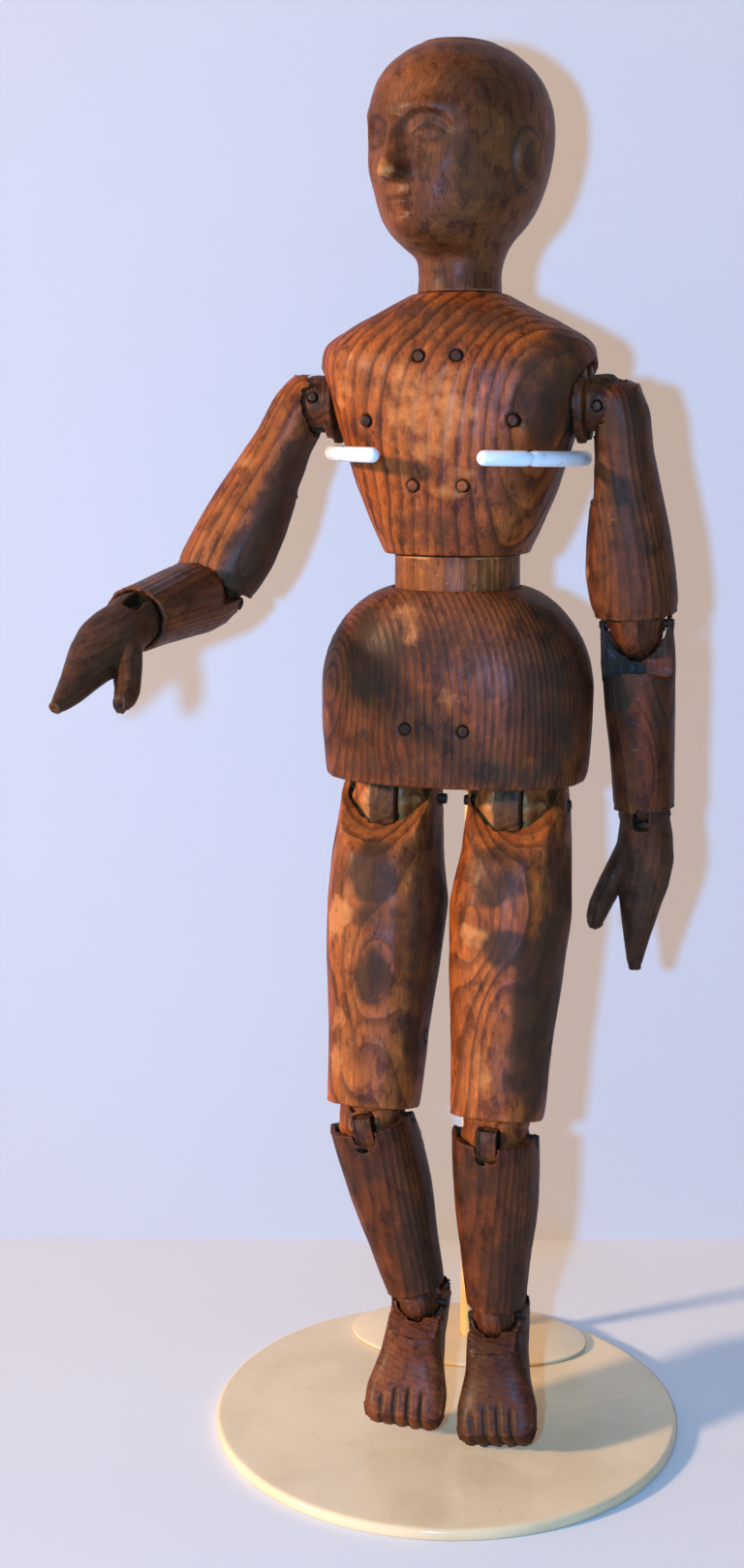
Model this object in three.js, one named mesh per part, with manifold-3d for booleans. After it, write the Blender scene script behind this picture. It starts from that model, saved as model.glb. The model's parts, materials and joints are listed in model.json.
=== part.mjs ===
// Jointed wooden lay figure on a wire display stand.
// Millimetres, +Z up. The origin is the middle of the stand's underside and the stand faces -Y.
import * as THREE from 'three';
import { mergeVertices } from 'three/addons/utils/BufferGeometryUtils.js';
import Module from 'manifold-3d';

const wasm = await Module();
wasm.setup();

// Clearances
const seatGap = 0.3;
const cupGap = 0.45;
const sleeveGap = 0.5;

// Display stand
const baseRadius = 105;
const baseThickness = 5;
const baseRimRadius = 2.2;
const plateLength = 116;
const plateDepth = 66;
const plateThickness = 1.5;
const postRadius = 4;
const postBore = 2.9;
const postTop = 392;
const stemLength = 104;
const hoopHeight = 435;
const hoopTilt = 1.3;
const hoopRadius = 54;
const hoopOpeningAngle = 26;
const hoopStepAngle = 8;
const wireRadius = 1.6;
const sleeveRadius = 3.2;
const sleeveStartAngle = 28;
const hoopCapAngle = 21;

// Where the figure hangs in the hoop
const figureY = 17;
const figureTurn = -6;

// Pegs and pins
const pegRadius = 2.3;
const smallPinRadius = 1.6;
const limbPinRadius = 2;
const hipPinRadius = 2.4;

// Head and neck
const neckRadius = 17.8;
const headTurn = -25;
const headHeight = 102.3;
const skullHalfWidth = 35.8;
const faceDepth = 42.5;
const napeDepth = 45;
const noseReach = 8;
const earReach = 4;
const neckDowelRadius = 10;
const neckDowelLength = 36;
const neckPegDrop = 27.2;
const neckPegSpacing = 16.2;

// Chest
const chestBottom = 393.5;
const chestHeight = 109.2;
const neckSeamHeight = chestBottom + chestHeight;
const neckPegHeight = neckSeamHeight - neckPegDrop;
const shoulderCornerHeight = 475;
const shoulderHalfWidth = 60;
const chestHalfDepth = 37;
const chestBottomHalfWidth = 31;
const chestBottomHalfDepth = 27.5;

// Waist drum
const waistRadius = 27.3;
const waistHeight = 14;
const waistSeat = 3;
const waistDowelRadius = 12.5;
const waistDowelLength = 35;
const waistPegRise = 29.5;
const waistPegHeight = chestBottom + waistPegRise;
const waistPegSpacing = 21.4;
const waistPlugRadius = 14;
const waistPlugLength = 27;

// Pelvis
const pelvisBottom = 295.5;
const pelvisHalfWidth = 60.5;
const pelvisHalfDepth = 38.5;

// Shoulders
const shoulderX = 62;
const shoulderZ = 457;
const shoulderSeatX = 52;
const shoulderBlockRadius = 17.2;
const shoulderBallRadius = 13;
const shoulderDowelRadius = 9;
const shoulderDowelLength = 30;
const shoulderPegX = 31.5;
const shoulderPegDrop = 7.4;
const shoulderTongueThickness = 8;
const shoulderTongueRadius = 7;

// Arms
const armOffset = 8;
const upperArmLength = 90;
const upperArmTop = 11;
const upperArmPitHalfWidth = 12.4;
const upperArmHalfWidth = 19.6;
const upperArmHalfDepth = 17;
const elbowRise = 4.6;
const elbowBallRadius = 13;
const elbowTongueRadius = 15.2;
const elbowTongueThickness = 7;
const elbowEarRadius = 4;
const forearmLength = 81;
const forearmHalfWidth = 16.6;
const forearmHalfDepth = 15.6;
const wristHalfWidth = 13.6;
const wristRise = 2.6;
const wristBallRadius = 12;
const wristTongueThickness = 6;
const wristTongueRadius = 5.4;
const handLength = 72;
const palmHalfWidth = 13.4;
const palmHalfThickness = 8.6;
const thumbReach = 25.5;
const thumbLength = 51;

// Legs
const hipX = 28;
const hipZ = 285;
const hipBallRadius = 19.5;
const hipTongueRadius = 21.4;
const hipTongueThickness = 11.4;
const hipTailHalfWidth = 11;
const hipTailLength = 36;
const hipDowelRadius = 16;
const hipDowelLength = 42;
const hipPegHeight = 321;
const hipPegInset = 15.4;
const hipEarRadius = 9.6;
const thighLength = 137;
const thighTopHalfWidth = 23.6;
const thighHalfWidth = 27;
const thighHalfDepth = 27;
const thighBottomHalfWidth = 20.4;
const thighBottomHalfDepth = 20.4;
const kneeRise = 8;
const kneeBallRadius = 15.6;
const kneeTongueRadius = 17.6;
const kneeTongueThickness = 9;
const kneeTailHalfWidth = 12;
const kneeTailLength = 42;
const kneePegHeight = 32;
const kneeEarRadius = 2.6;
const shinLength = 86;
const shinTopHalfWidth = 19.6;
const calfHalfDepth = 19;
const ankleHalfWidth = 13.2;
const ankleRise = 6.6;
const ankleBallRadius = 9.6;
const ankleTongueRadius = 11;
const ankleTongueThickness = 6;
const ankleEarRadius = 2;
const footLength = 52.5;
const footDrop = 20;
const heelReach = 17;
const footHalfWidth = 18.6;

// Rest pose, in degrees
const pose = {
  left: {
    swing: -7, raise: 3.2, elbowTurn: 0, elbow: 4, wrist: 0,
    hip: 13.5, knee: 17, kneeLean: 0, ankle: 40.5, footLean: 9,
  },
  right: {
    swing: 13.5, raise: 23, elbowTurn: 7, elbow: 74, wrist: 17,
    hip: 13.5, knee: 17, kneeLean: 14.4, ankle: 41.5, footLean: 17,
  },
};

// Furthest bends that the ends of the limbs are cut back for, in degrees
const elbowBendLimit = 90;
const elbowBackLimit = 3;
const hipBendLimit = 62;
const hipBackLimit = 6;
const kneeBendLimit = 75;
const kneeForwardLimit = 4;
const ankleUpLimit = 6;
const ankleDownLimit = 62;

const { degToRad } = THREE.MathUtils;

// A closed geometry as a solid, with its shared corners merged
function solid(geometry) {
  const bare = geometry.index ? geometry.toNonIndexed() : geometry.clone();
  for (const name of Object.keys(bare.attributes)) {
    if (name !== 'position') bare.deleteAttribute(name);
  }
  const merged = mergeVertices(bare, 1e-4);
  const corners = merged.index.array;
  const triangles = [];
  for (let i = 0; i < corners.length; i += 3) {
    const [a, b, c] = [corners[i], corners[i + 1], corners[i + 2]];
    if (a !== b && b !== c && c !== a) triangles.push(a, b, c);
  }
  const vertProperties = new Float32Array(merged.attributes.position.array);
  const triVerts = new Uint32Array(triangles);
  return new wasm.Manifold(new wasm.Mesh({ numProp: 3, vertProperties, triVerts }));
}

function wood(color, roughness = 0.45) {
  return new THREE.MeshStandardMaterial({ color, roughness, metalness: 0 });
}

function mesh(name, body, material) {
  const { vertProperties, triVerts } = body.getMesh();
  const geometry = new THREE.BufferGeometry();
  geometry.setAttribute('position', new THREE.BufferAttribute(new Float32Array(vertProperties), 3));
  geometry.setIndex(new THREE.BufferAttribute(new Uint32Array(triVerts), 1));
  geometry.computeVertexNormals();
  const result = new THREE.Mesh(geometry, material);
  result.name = name;
  return result;
}

// A round bar between two points
function bar(radius, from, to, sides = 10) {
  const start = new THREE.Vector3(...from);
  const end = new THREE.Vector3(...to);
  const along = end.clone().sub(start);
  const geometry = new THREE.CylinderGeometry(radius, radius, along.length(), sides);
  const upright = new THREE.Vector3(0, 1, 0);
  const turn = new THREE.Quaternion().setFromUnitVectors(upright, along.clone().normalize());
  geometry.applyQuaternion(turn);
  geometry.translate(...start.add(end).multiplyScalar(0.5).toArray());
  return solid(geometry);
}

// A hole whose flats clear a round bar of the given radius by the seat gap
function hole(radius, from, to, sides = 10) {
  return bar((radius + seatGap) / Math.cos(Math.PI / sides), from, to, sides);
}

const ballSides = 12;
const ballRows = 6;

function ball(radius, centre = [0, 0, 0]) {
  const geometry = new THREE.SphereGeometry(radius, ballSides, ballRows);
  geometry.rotateX(Math.PI / 2);
  geometry.translate(...centre);
  return solid(geometry);
}

// The hollow that a ball turns in
function cup(radius, centre = [0, 0, 0]) {
  const flat = Math.cos(Math.PI / ballSides) * Math.cos(Math.PI / (2 * ballRows));
  return ball((radius + cupGap) / flat, centre);
}

function block(size, centre) {
  const geometry = new THREE.BoxGeometry(...size);
  geometry.translate(...centre);
  return solid(geometry);
}

// A turned piece: its profile is a list of [radius, height], on the Z axis
function turned(profile, sides = 24) {
  const points = profile.map(([radius, height]) => new THREE.Vector2(radius, height));
  const geometry = new THREE.LatheGeometry(points, sides);
  geometry.rotateX(Math.PI / 2);
  return solid(geometry);
}

// A plate with its outline in the YZ plane, centred on x = 0
function plateAcross(shape, thickness, curveSegments = 4) {
  const geometry = new THREE.ExtrudeGeometry(shape, { depth: thickness, bevelEnabled: false, curveSegments });
  geometry.translate(0, 0, -thickness / 2);
  const basis = new THREE.Matrix4().makeBasis(
    new THREE.Vector3(0, 1, 0), new THREE.Vector3(0, 0, 1), new THREE.Vector3(1, 0, 0));
  geometry.applyMatrix4(basis);
  return solid(geometry);
}

// A skin over rings of points, closed at both ends
function skin(rings) {
  const count = rings[0].length;
  const points = rings.flat();
  const triangles = [];
  for (let row = 0; row + 1 < rings.length; row += 1) {
    for (let i = 0; i < count; i += 1) {
      const next = (i + 1) % count;
      const [a, b] = [row * count + i, row * count + next];
      const [c, d] = [a + count, b + count];
      triangles.push(a, b, d, a, d, c);
    }
  }
  const middle = (ring) => ring.reduce((sum, p) => sum.add(p), new THREE.Vector3()).divideScalar(count);
  const last = points.length - count;
  points.push(middle(rings[0]), middle(rings.at(-1)));
  for (let i = 0; i < count; i += 1) {
    const next = (i + 1) % count;
    triangles.push(points.length - 2, next, i);
    triangles.push(points.length - 1, last + i, last + next);
  }
  const geometry = new THREE.BufferGeometry().setFromPoints(points);
  geometry.setIndex(triangles);
  return solid(geometry);
}

// A level ring, round at squareness 2 and boxier above it
function ring(z, x, y, halfWidth, halfDepth, squareness, sides) {
  const points = [];
  for (let i = 0; i < sides; i += 1) {
    const angle = (i / sides) * 2 * Math.PI;
    const [c, s] = [Math.cos(angle), Math.sin(angle)];
    const px = Math.sign(c) * Math.abs(c) ** (2 / squareness) * halfWidth;
    const py = Math.sign(s) * Math.abs(s) ** (2 / squareness) * halfDepth;
    points.push(new THREE.Vector3(x + px, y + py, z));
  }
  return points;
}

// The skin over a list of [height, x, y, half width, half depth], listed from the bottom up
function limb(sections, squareness = 2.2, sides = 14) {
  return skin(sections.map(([z, x, y, w, d]) => ring(z, x, y, w, d, squareness, sides)));
}

// Flat tongue: a disc round the pin with a tail that runs up into the piece that carries it
function tongueShape(radius, shoulder, tailHalfWidth, tailTop, grow = 0) {
  const shape = new THREE.Shape();
  const reach = radius + grow;
  const rise = shoulder + grow;
  const start = Math.asin(rise / reach);
  shape.absarc(0, 0, reach, start, Math.PI - start, true);
  shape.lineTo(-tailHalfWidth - grow, rise);
  shape.lineTo(-tailHalfWidth - grow, tailTop + grow);
  shape.lineTo(tailHalfWidth + grow, tailTop + grow);
  shape.lineTo(tailHalfWidth + grow, rise);
  shape.closePath();
  return shape;
}

function discShape(radius) {
  return new THREE.Shape().absarc(0, 0, radius, 0, 2 * Math.PI, false);
}

// The room that a limb's upper end must keep to: round about the pin, falling away on both sides so
// that it can bend forward and back under a flat face
function bendRoom(radius, forward, back, reach, width) {
  const [f, b] = [degToRad(forward), degToRad(back)];
  const shape = new THREE.Shape();
  shape.moveTo(radius * Math.sin(b) + reach * Math.cos(b), radius * Math.cos(b) - reach * Math.sin(b));
  shape.absarc(0, 0, radius, Math.PI / 2 - b, Math.PI / 2 + f, false);
  shape.lineTo(-radius * Math.sin(f) - reach * Math.cos(f), radius * Math.cos(f) - reach * Math.sin(f));
  shape.lineTo(-reach * 2, -reach * 3);
  shape.lineTo(reach * 2, -reach * 3);
  shape.closePath();
  return plateAcross(shape, width);
}

// The lower piece of a knuckle hinge: cup for the ball, slot for the tongue, ends cut back for the bend
function hingedEnd(body, hinge) {
  const { ballRadius, tongueRadius, tongueThickness, pinRadius } = hinge;
  const { earRadius, forward, back, biteRadius } = hinge;
  const width = 4 * biteRadius;
  const room = bendRoom(earRadius, forward, back, biteRadius * 2, width);
  const bite = plateAcross(discShape(biteRadius), width, 8).subtract(room);
  const above = block([width, width, biteRadius * 2], [0, 0, biteRadius + earRadius]);
  const slotRadius = (tongueRadius + cupGap) / Math.cos(Math.PI / 16);
  const slot = plateAcross(discShape(slotRadius), tongueThickness + 2 * seatGap, 8);
  const bore = hole(pinRadius, [-width, 0, 0], [width, 0, 0]);
  return body.subtract(bite).subtract(above).subtract(cup(ballRadius)).subtract(slot).subtract(bore);
}

// Places a solid made in a joint's own frame in the frame of the piece above it
function placed(body, group) {
  group.updateMatrix();
  return body.transform(Array.from(group.matrix.elements));
}

function jointGroup(position, rotation, order = 'YXZ') {
  const group = new THREE.Group();
  group.position.set(...position);
  group.rotation.set(...rotation.map(degToRad), order);
  return group;
}

const figure = new THREE.Group();
figure.position.set(0, figureY, 0);
figure.rotation.z = degToRad(figureTurn);

const model = new THREE.Group();
model.name = 'lay_figure';
model.add(figure);

// Stand base, foot plate and post
const postY = figureY + hoopRadius;
const plateBottom = baseThickness + seatGap;
const enamel = () => new THREE.MeshStandardMaterial({ color: 0xe6d9bf, roughness: 0.3, metalness: 0.1 });

function rimPoints(radius, height) {
  const points = [];
  for (let step = 0; step <= 3; step += 1) {
    const angle = (step / 3) * (Math.PI / 2);
    const out = radius - baseRimRadius * (1 - Math.cos(angle));
    points.push([out, height - baseRimRadius * (1 - Math.sin(angle))]);
  }
  return points;
}

const baseProfile = [
  [0, 0], [baseRadius - 1, 0], [baseRadius, 1], ...rimPoints(baseRadius, baseThickness), [0, baseThickness],
];
model.add(mesh('stand_base', turned(baseProfile, 36), enamel()));

const plateOutline = new THREE.Shape()
  .absellipse(0, postY, plateLength / 2, plateDepth / 2, 0, 2 * Math.PI, false, 0);
plateOutline.holes.push(new THREE.Path().absarc(0, postY, postRadius + seatGap, 0, 2 * Math.PI, true));
const plateGeometry = new THREE.ExtrudeGeometry(
  plateOutline, { depth: plateThickness, bevelEnabled: false, curveSegments: 12 });
plateGeometry.translate(0, 0, plateBottom);
model.add(mesh('post_foot_plate', solid(plateGeometry), enamel()));

const postTube = bar(postRadius, [0, postY, plateBottom], [0, postY, postTop], 18)
  .subtract(bar(postBore, [0, postY, plateBottom + plateThickness], [0, postY, postTop + 1], 18));
model.add(mesh('stand_post', postTube, enamel()));

// Hoop: a wire stem and ring, two sleeves and two end caps
class HoopArc extends THREE.Curve {
  constructor(from, to) {
    super();
    this.from = degToRad(from);
    this.to = degToRad(to);
  }

  getPoint(t, target = new THREE.Vector3()) {
    const angle = this.from + t * (this.to - this.from);
    const across = hoopRadius * Math.sin(angle);
    const height = hoopHeight - across * Math.tan(degToRad(hoopTilt));
    return target.set(across, figureY + hoopRadius * Math.cos(angle), height);
  }
}

function hoopTube(from, to, radius, bore, curveSegments = 4) {
  const steps = Math.ceil(Math.abs(to - from) / hoopStepAngle);
  const section = new THREE.Shape().absarc(0, 0, radius, 0, 2 * Math.PI, false);
  if (bore) section.holes.push(new THREE.Path().absarc(0, 0, bore, 0, 2 * Math.PI, true));
  const extrudePath = new HoopArc(from, to);
  const settings = { steps, bevelEnabled: false, curveSegments, extrudePath };
  return solid(new THREE.ExtrudeGeometry(section, settings));
}

const tipAngle = (sign) => sign * (180 - hoopOpeningAngle) - figureTurn;
const wireEnd = (sign) => tipAngle(sign) - sign * 2;
const gapAngle = THREE.MathUtils.radToDeg(seatGap / hoopRadius);
const stem = bar(postBore - seatGap, [0, postY, hoopHeight - stemLength], [0, postY, hoopHeight], 14);
const hoopWire = hoopTube(wireEnd(-1), wireEnd(1), wireRadius, 0, 3).add(stem);
const steel = new THREE.MeshStandardMaterial({ color: 0xd8d4c8, roughness: 0.4, metalness: 0.3 });
model.add(mesh('hoop_wire', hoopWire, steel));

for (const [side, sign] of [['left', 1], ['right', -1]]) {
  const vinyl = () => new THREE.MeshStandardMaterial({ color: 0xf2f2f2, roughness: 0.35, metalness: 0 });
  const capStart = tipAngle(sign) - sign * hoopCapAngle;
  const bore = wireRadius + sleeveGap;
  const sleeve = hoopTube(sign * sleeveStartAngle, capStart - sign * gapAngle, sleeveRadius, bore);
  model.add(mesh(`${side}_hoop_sleeve`, sleeve, vinyl()));
  const tip = new HoopArc(0, tipAngle(sign)).getPoint(1).toArray();
  const cap = hoopTube(capStart, tipAngle(sign), sleeveRadius, 0)
    .add(ball(sleeveRadius * 0.99, tip))
    .subtract(hoopTube(capStart - sign, wireEnd(sign) + 2 * sign * gapAngle, bore, 0));
  model.add(mesh(`${side}_hoop_cap`, cap, vinyl()));
}

// Head with its neck and dowel
const headProfile = [
  [0, 0.497, 0.412, 0.4], [8, 0.486, 0.412, 0.411], [14.5, 0.517, 0.47, 0.456], [18.5, 0.56, 0.68, 0.5],
  [22, 0.63, 0.81, 0.556], [27, 0.74, 0.89, 0.667], [34, 0.845, 0.93, 0.79], [41, 0.905, 0.95, 0.875],
  [48, 0.95, 0.972, 0.935], [56, 0.983, 0.988, 0.978], [63, 0.998, 0.996, 0.998], [70, 0.995, 1, 1],
  [78, 0.972, 0.988, 0.978], [86, 0.894, 0.929, 0.9], [93, 0.74, 0.788, 0.756], [98.5, 0.503, 0.541, 0.522],
  [101.5, 0.237, 0.259, 0.244], [headHeight, 0.04, 0.04, 0.04],
];
const headSides = 30;
const noseHeight = 49;
const browHeight = 74;
const eyeHeight = 65;
const mouthHeight = 40;
const earHeight = 61;

function hump(value, centre, spread) {
  return Math.exp(-(((value - centre) / spread) ** 2));
}

// How far the carved face and ears stand out of the plain oval, at an angle from the front
function faceRelief(height, angle) {
  const away = Math.abs(angle);
  const bridge = Math.min(Math.max((browHeight - 3 - height) / (browHeight - 3 - noseHeight), 0), 1);
  const underNose = Math.min(Math.max((height - noseHeight + 5) / 4, 0), 1);
  const nose = noseReach * bridge * underNose * hump(away, 0, 9 - 2.5 * (1 - bridge));
  const brow = 1.4 * hump(height, browHeight, 4) * hump(away, 18, 22);
  const socket = -2.6 * hump(height, eyeHeight, 5) * hump(away, 22, 12);
  const lips = 1.6 * hump(height, mouthHeight, 4) * hump(away, 0, 16);
  const chin = 1.8 * hump(height, 26, 5) * hump(away, 0, 16);
  const ear = earReach * hump(height, earHeight, 9) * hump(away, 98, 10);
  return nose + brow + socket + lips + chin + ear;
}

function headRing([height, width, front, back]) {
  const points = [];
  for (let i = 0; i < headSides; i += 1) {
    const turn = (i / headSides) * 2 * Math.PI - Math.PI;
    const angle = turn - 0.35 * Math.sin(turn);
    const [across, ahead] = [Math.sin(angle), Math.cos(angle)];
    const depth = ahead > 0 ? front * faceDepth : back * napeDepth;
    const level = Math.min(height * 40, 1) * Math.min((headHeight - height) * 40, 1);
    const relief = height > 14 ? level * faceRelief(height, THREE.MathUtils.radToDeg(angle)) : 0;
    const grow = 1 + relief / Math.hypot(width * skullHalfWidth * across, depth * ahead);
    points.push(new THREE.Vector3(grow * width * skullHalfWidth * across, -grow * depth * ahead, height));
  }
  return points;
}

// A dowel that turns in its hole, held by pegs in a groove round it
function groovedDowel(radius, bottom, top, grooveHeight, grooveRadius) {
  const half = pegRadius + seatGap;
  return turned([
    [0, bottom], [radius - 1, bottom], [radius, bottom + 1], [radius, grooveHeight - half],
    [grooveRadius, grooveHeight - half], [grooveRadius, grooveHeight + half], [radius, grooveHeight + half],
    [radius, top], [0, top],
  ], 14);
}

// Two pegs that run front to back, each touching the groove of a dowel
function pegPair(names, spacing, height, front, back, color) {
  return names.map((name, i) => {
    const x = (i ? -1 : 1) * spacing / 2;
    return mesh(name, bar(pegRadius, [x, -front, height], [x, back, height], 8), wood(color, 0.6));
  });
}

function pegHoles(body, spacing, height, front, back) {
  let result = body;
  for (const x of [-spacing / 2, spacing / 2]) {
    result = result.subtract(hole(pegRadius, [x, -front, height], [x, back, height], 8));
  }
  return result;
}

const neckGroove = neckPegSpacing / 2 - pegRadius - seatGap;
const headGroup = jointGroup([0, 0, neckSeamHeight], [0, 0, headTurn]);
const neckDowel = groovedDowel(neckDowelRadius, -neckDowelLength, 5, -neckPegDrop, neckGroove);
headGroup.add(mesh('head', skin(headProfile.map(headRing)).add(neckDowel), wood(0x6e4226)));

// Chest: sloping shoulders over a block that tapers to the waist
const chestTop = neckSeamHeight - seatGap;
const slope = chestTop - shoulderCornerHeight;
const taper = shoulderCornerHeight - chestBottom;
const chestSections = [
  [chestBottom, 0, 0, chestBottomHalfWidth, chestBottomHalfDepth],
  [chestBottom + 0.14 * taper, 0, 0, 36.6, 30.6],
  [chestBottom + 0.35 * taper, 0, 0, 43.6, 34],
  [chestBottom + 0.58 * taper, 0, 0, 49.4, 36.4],
  [chestBottom + 0.8 * taper, 0, 0, 55.6, chestHalfDepth],
  [shoulderCornerHeight - 4, 0, 0, shoulderHalfWidth - 0.4, chestHalfDepth - 0.6],
  [shoulderCornerHeight, 0, 0, shoulderHalfWidth, chestHalfDepth - 1.4],
  [shoulderCornerHeight + 0.22 * slope, 0, 0, shoulderHalfWidth - 1.4, chestHalfDepth - 3.6],
  [shoulderCornerHeight + 0.34 * slope, 0, 0, shoulderHalfWidth - 5.5, chestHalfDepth - 5.6],
  [shoulderCornerHeight + 0.55 * slope, 0, 0, 44.5, chestHalfDepth - 8.6],
  [shoulderCornerHeight + 0.8 * slope, 0, 0, 30, chestHalfDepth - 13],
  [chestTop, 0, 0, neckRadius + 2, neckRadius + 1],
];
const notchRadius = shoulderBlockRadius + 2 * seatGap;
const waistTop = chestBottom - seatGap;
const waistGroove = waistPegSpacing / 2 - pegRadius - seatGap;
const shoulderGroove = shoulderPegDrop - pegRadius - seatGap;
const shoulderPegZ = shoulderZ - shoulderPegDrop;
const neckFront = chestHalfDepth - 1.9;
const shoulderFront = chestHalfDepth - 3.6;
const waistFront = chestHalfDepth - 3;

let chest = limb(chestSections, 2.45, 24);
const neckHoleBottom = neckSeamHeight - neckDowelLength - 1;
const waistHoleTop = waistTop + waistDowelLength + 1;
chest = chest.subtract(hole(neckDowelRadius, [0, 0, neckHoleBottom], [0, 0, chestTop + 1], 14));
chest = chest.subtract(hole(waistDowelRadius, [0, 0, chestBottom - 1], [0, 0, waistHoleTop], 14));
chest = pegHoles(chest, neckPegSpacing, neckPegHeight, 60, 14);
chest = pegHoles(chest, waistPegSpacing, waistPegHeight, 60, 14);
chest = pegHoles(chest, 2 * shoulderPegX, shoulderPegZ, 60, 12);
for (const sign of [1, -1]) {
  const notch = bar(notchRadius, [sign * shoulderSeatX, 0, shoulderZ], [sign * 90, 0, shoulderZ], 20);
  const underCentre = [sign * (shoulderSeatX + 20), 0, shoulderZ - notchRadius / 2];
  const under = block([40, 2 * notchRadius, notchRadius], underCentre);
  const socket = hole(shoulderDowelRadius, [sign * (shoulderSeatX - shoulderDowelLength - 1), 0, shoulderZ],
    [sign * 60, 0, shoulderZ], 14);
  chest = chest.subtract(notch).subtract(under).subtract(socket);
}
figure.add(mesh('chest', chest, wood(0x8f4f27)));
figure.add(headGroup);
const neckPegNames = ['left_neck_peg', 'right_neck_peg'];
const waistPegNames = ['left_waist_peg', 'right_waist_peg'];
figure.add(...pegPair(neckPegNames, neckPegSpacing, neckPegHeight, neckFront, 13, 0x3f2617));
figure.add(...pegPair(waistPegNames, waistPegSpacing, waistPegHeight, waistFront, 13, 0x6b3a1e));
const shoulderPegNames = ['left_shoulder_dowel_peg', 'right_shoulder_dowel_peg'];
figure.add(...pegPair(shoulderPegNames, 2 * shoulderPegX, shoulderPegZ, shoulderFront, 11, 0x3f2617));

// Waist drum: turns in the chest, plugged into the pelvis
const waistBottom = waistTop - waistHeight - waistSeat;
const waistPlugBottom = waistBottom - waistPlugLength;
const waistDowelTop = waistTop + waistDowelLength;
const waistGrooveHalf = pegRadius + seatGap;
const waist = turned([
  [0, waistPlugBottom], [waistPlugRadius, waistPlugBottom], [waistPlugRadius, waistBottom],
  [waistRadius, waistBottom], [waistRadius, waistTop], [waistDowelRadius, waistTop],
  [waistDowelRadius, waistPegHeight - waistGrooveHalf], [waistGroove, waistPegHeight - waistGrooveHalf],
  [waistGroove, waistPegHeight + waistGrooveHalf], [waistDowelRadius, waistPegHeight + waistGrooveHalf],
  [waistDowelRadius, waistDowelTop], [0, waistDowelTop],
], 24);
figure.add(mesh('waist_drum', waist, wood(0x8a4c26)));

// Pelvis: a bell with a socket for the waist and two for the hip blocks
const pelvisTop = waistBottom + waistSeat;
const rise = pelvisTop - pelvisBottom;
const pelvisSections = [
  [pelvisBottom, 0, 0, pelvisHalfWidth - 3.4, pelvisHalfDepth - 2.4],
  [pelvisBottom + 2.5, 0, 0, pelvisHalfWidth - 2, pelvisHalfDepth - 1.2],
  [pelvisBottom + 0.27 * rise, 0, 0, pelvisHalfWidth - 0.4, pelvisHalfDepth],
  [pelvisBottom + 0.5 * rise, 0, 0, pelvisHalfWidth, pelvisHalfDepth],
  [pelvisBottom + 0.62 * rise, 0, 0, pelvisHalfWidth - 1.6, pelvisHalfDepth - 0.6],
  [pelvisBottom + 0.72 * rise, 0, 0, pelvisHalfWidth - 4.6, pelvisHalfDepth - 2],
  [pelvisBottom + 0.82 * rise, 0, 0, pelvisHalfWidth - 9.6, pelvisHalfDepth - 4],
  [pelvisBottom + 0.91 * rise, 0, 0, pelvisHalfWidth - 16.6, pelvisHalfDepth - 6.4],
  [pelvisBottom + 0.97 * rise, 0, 0, pelvisHalfWidth - 24, pelvisHalfDepth - 8.2],
  [pelvisTop, 0, 0, waistRadius + 2.2, waistRadius + 1.6],
];
const hipPegSpacing = 2 * (hipX - hipPegInset);
const hipGroove = hipPegInset - pegRadius - seatGap;
const hipDowelTop = pelvisBottom + hipDowelLength;
let pelvis = limb(pelvisSections, 2.4, 24);
pelvis = pelvis.subtract(hole(waistRadius, [0, 0, waistBottom - seatGap], [0, 0, pelvisTop + 1], 18));
pelvis = pelvis.subtract(hole(waistPlugRadius, [0, 0, waistPlugBottom - 1], [0, 0, pelvisTop], 18));
pelvis = pegHoles(pelvis, hipPegSpacing, hipPegHeight, 60, 20);
for (const sign of [1, -1]) {
  const x = sign * hipX;
  const socket = hole(hipDowelRadius, [x, 0, pelvisBottom - 1], [x, 0, hipDowelTop + 1], 18);
  pelvis = pelvis.subtract(socket);
}
figure.add(mesh('pelvis', pelvis, wood(0x7d4424)));
const hipPegNames = ['left_hip_peg', 'right_hip_peg'];
const hipPegFront = pelvisHalfDepth - 1.2;
figure.add(...pegPair(hipPegNames, hipPegSpacing, hipPegHeight, hipPegFront, 19, 0x30201a));

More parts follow.
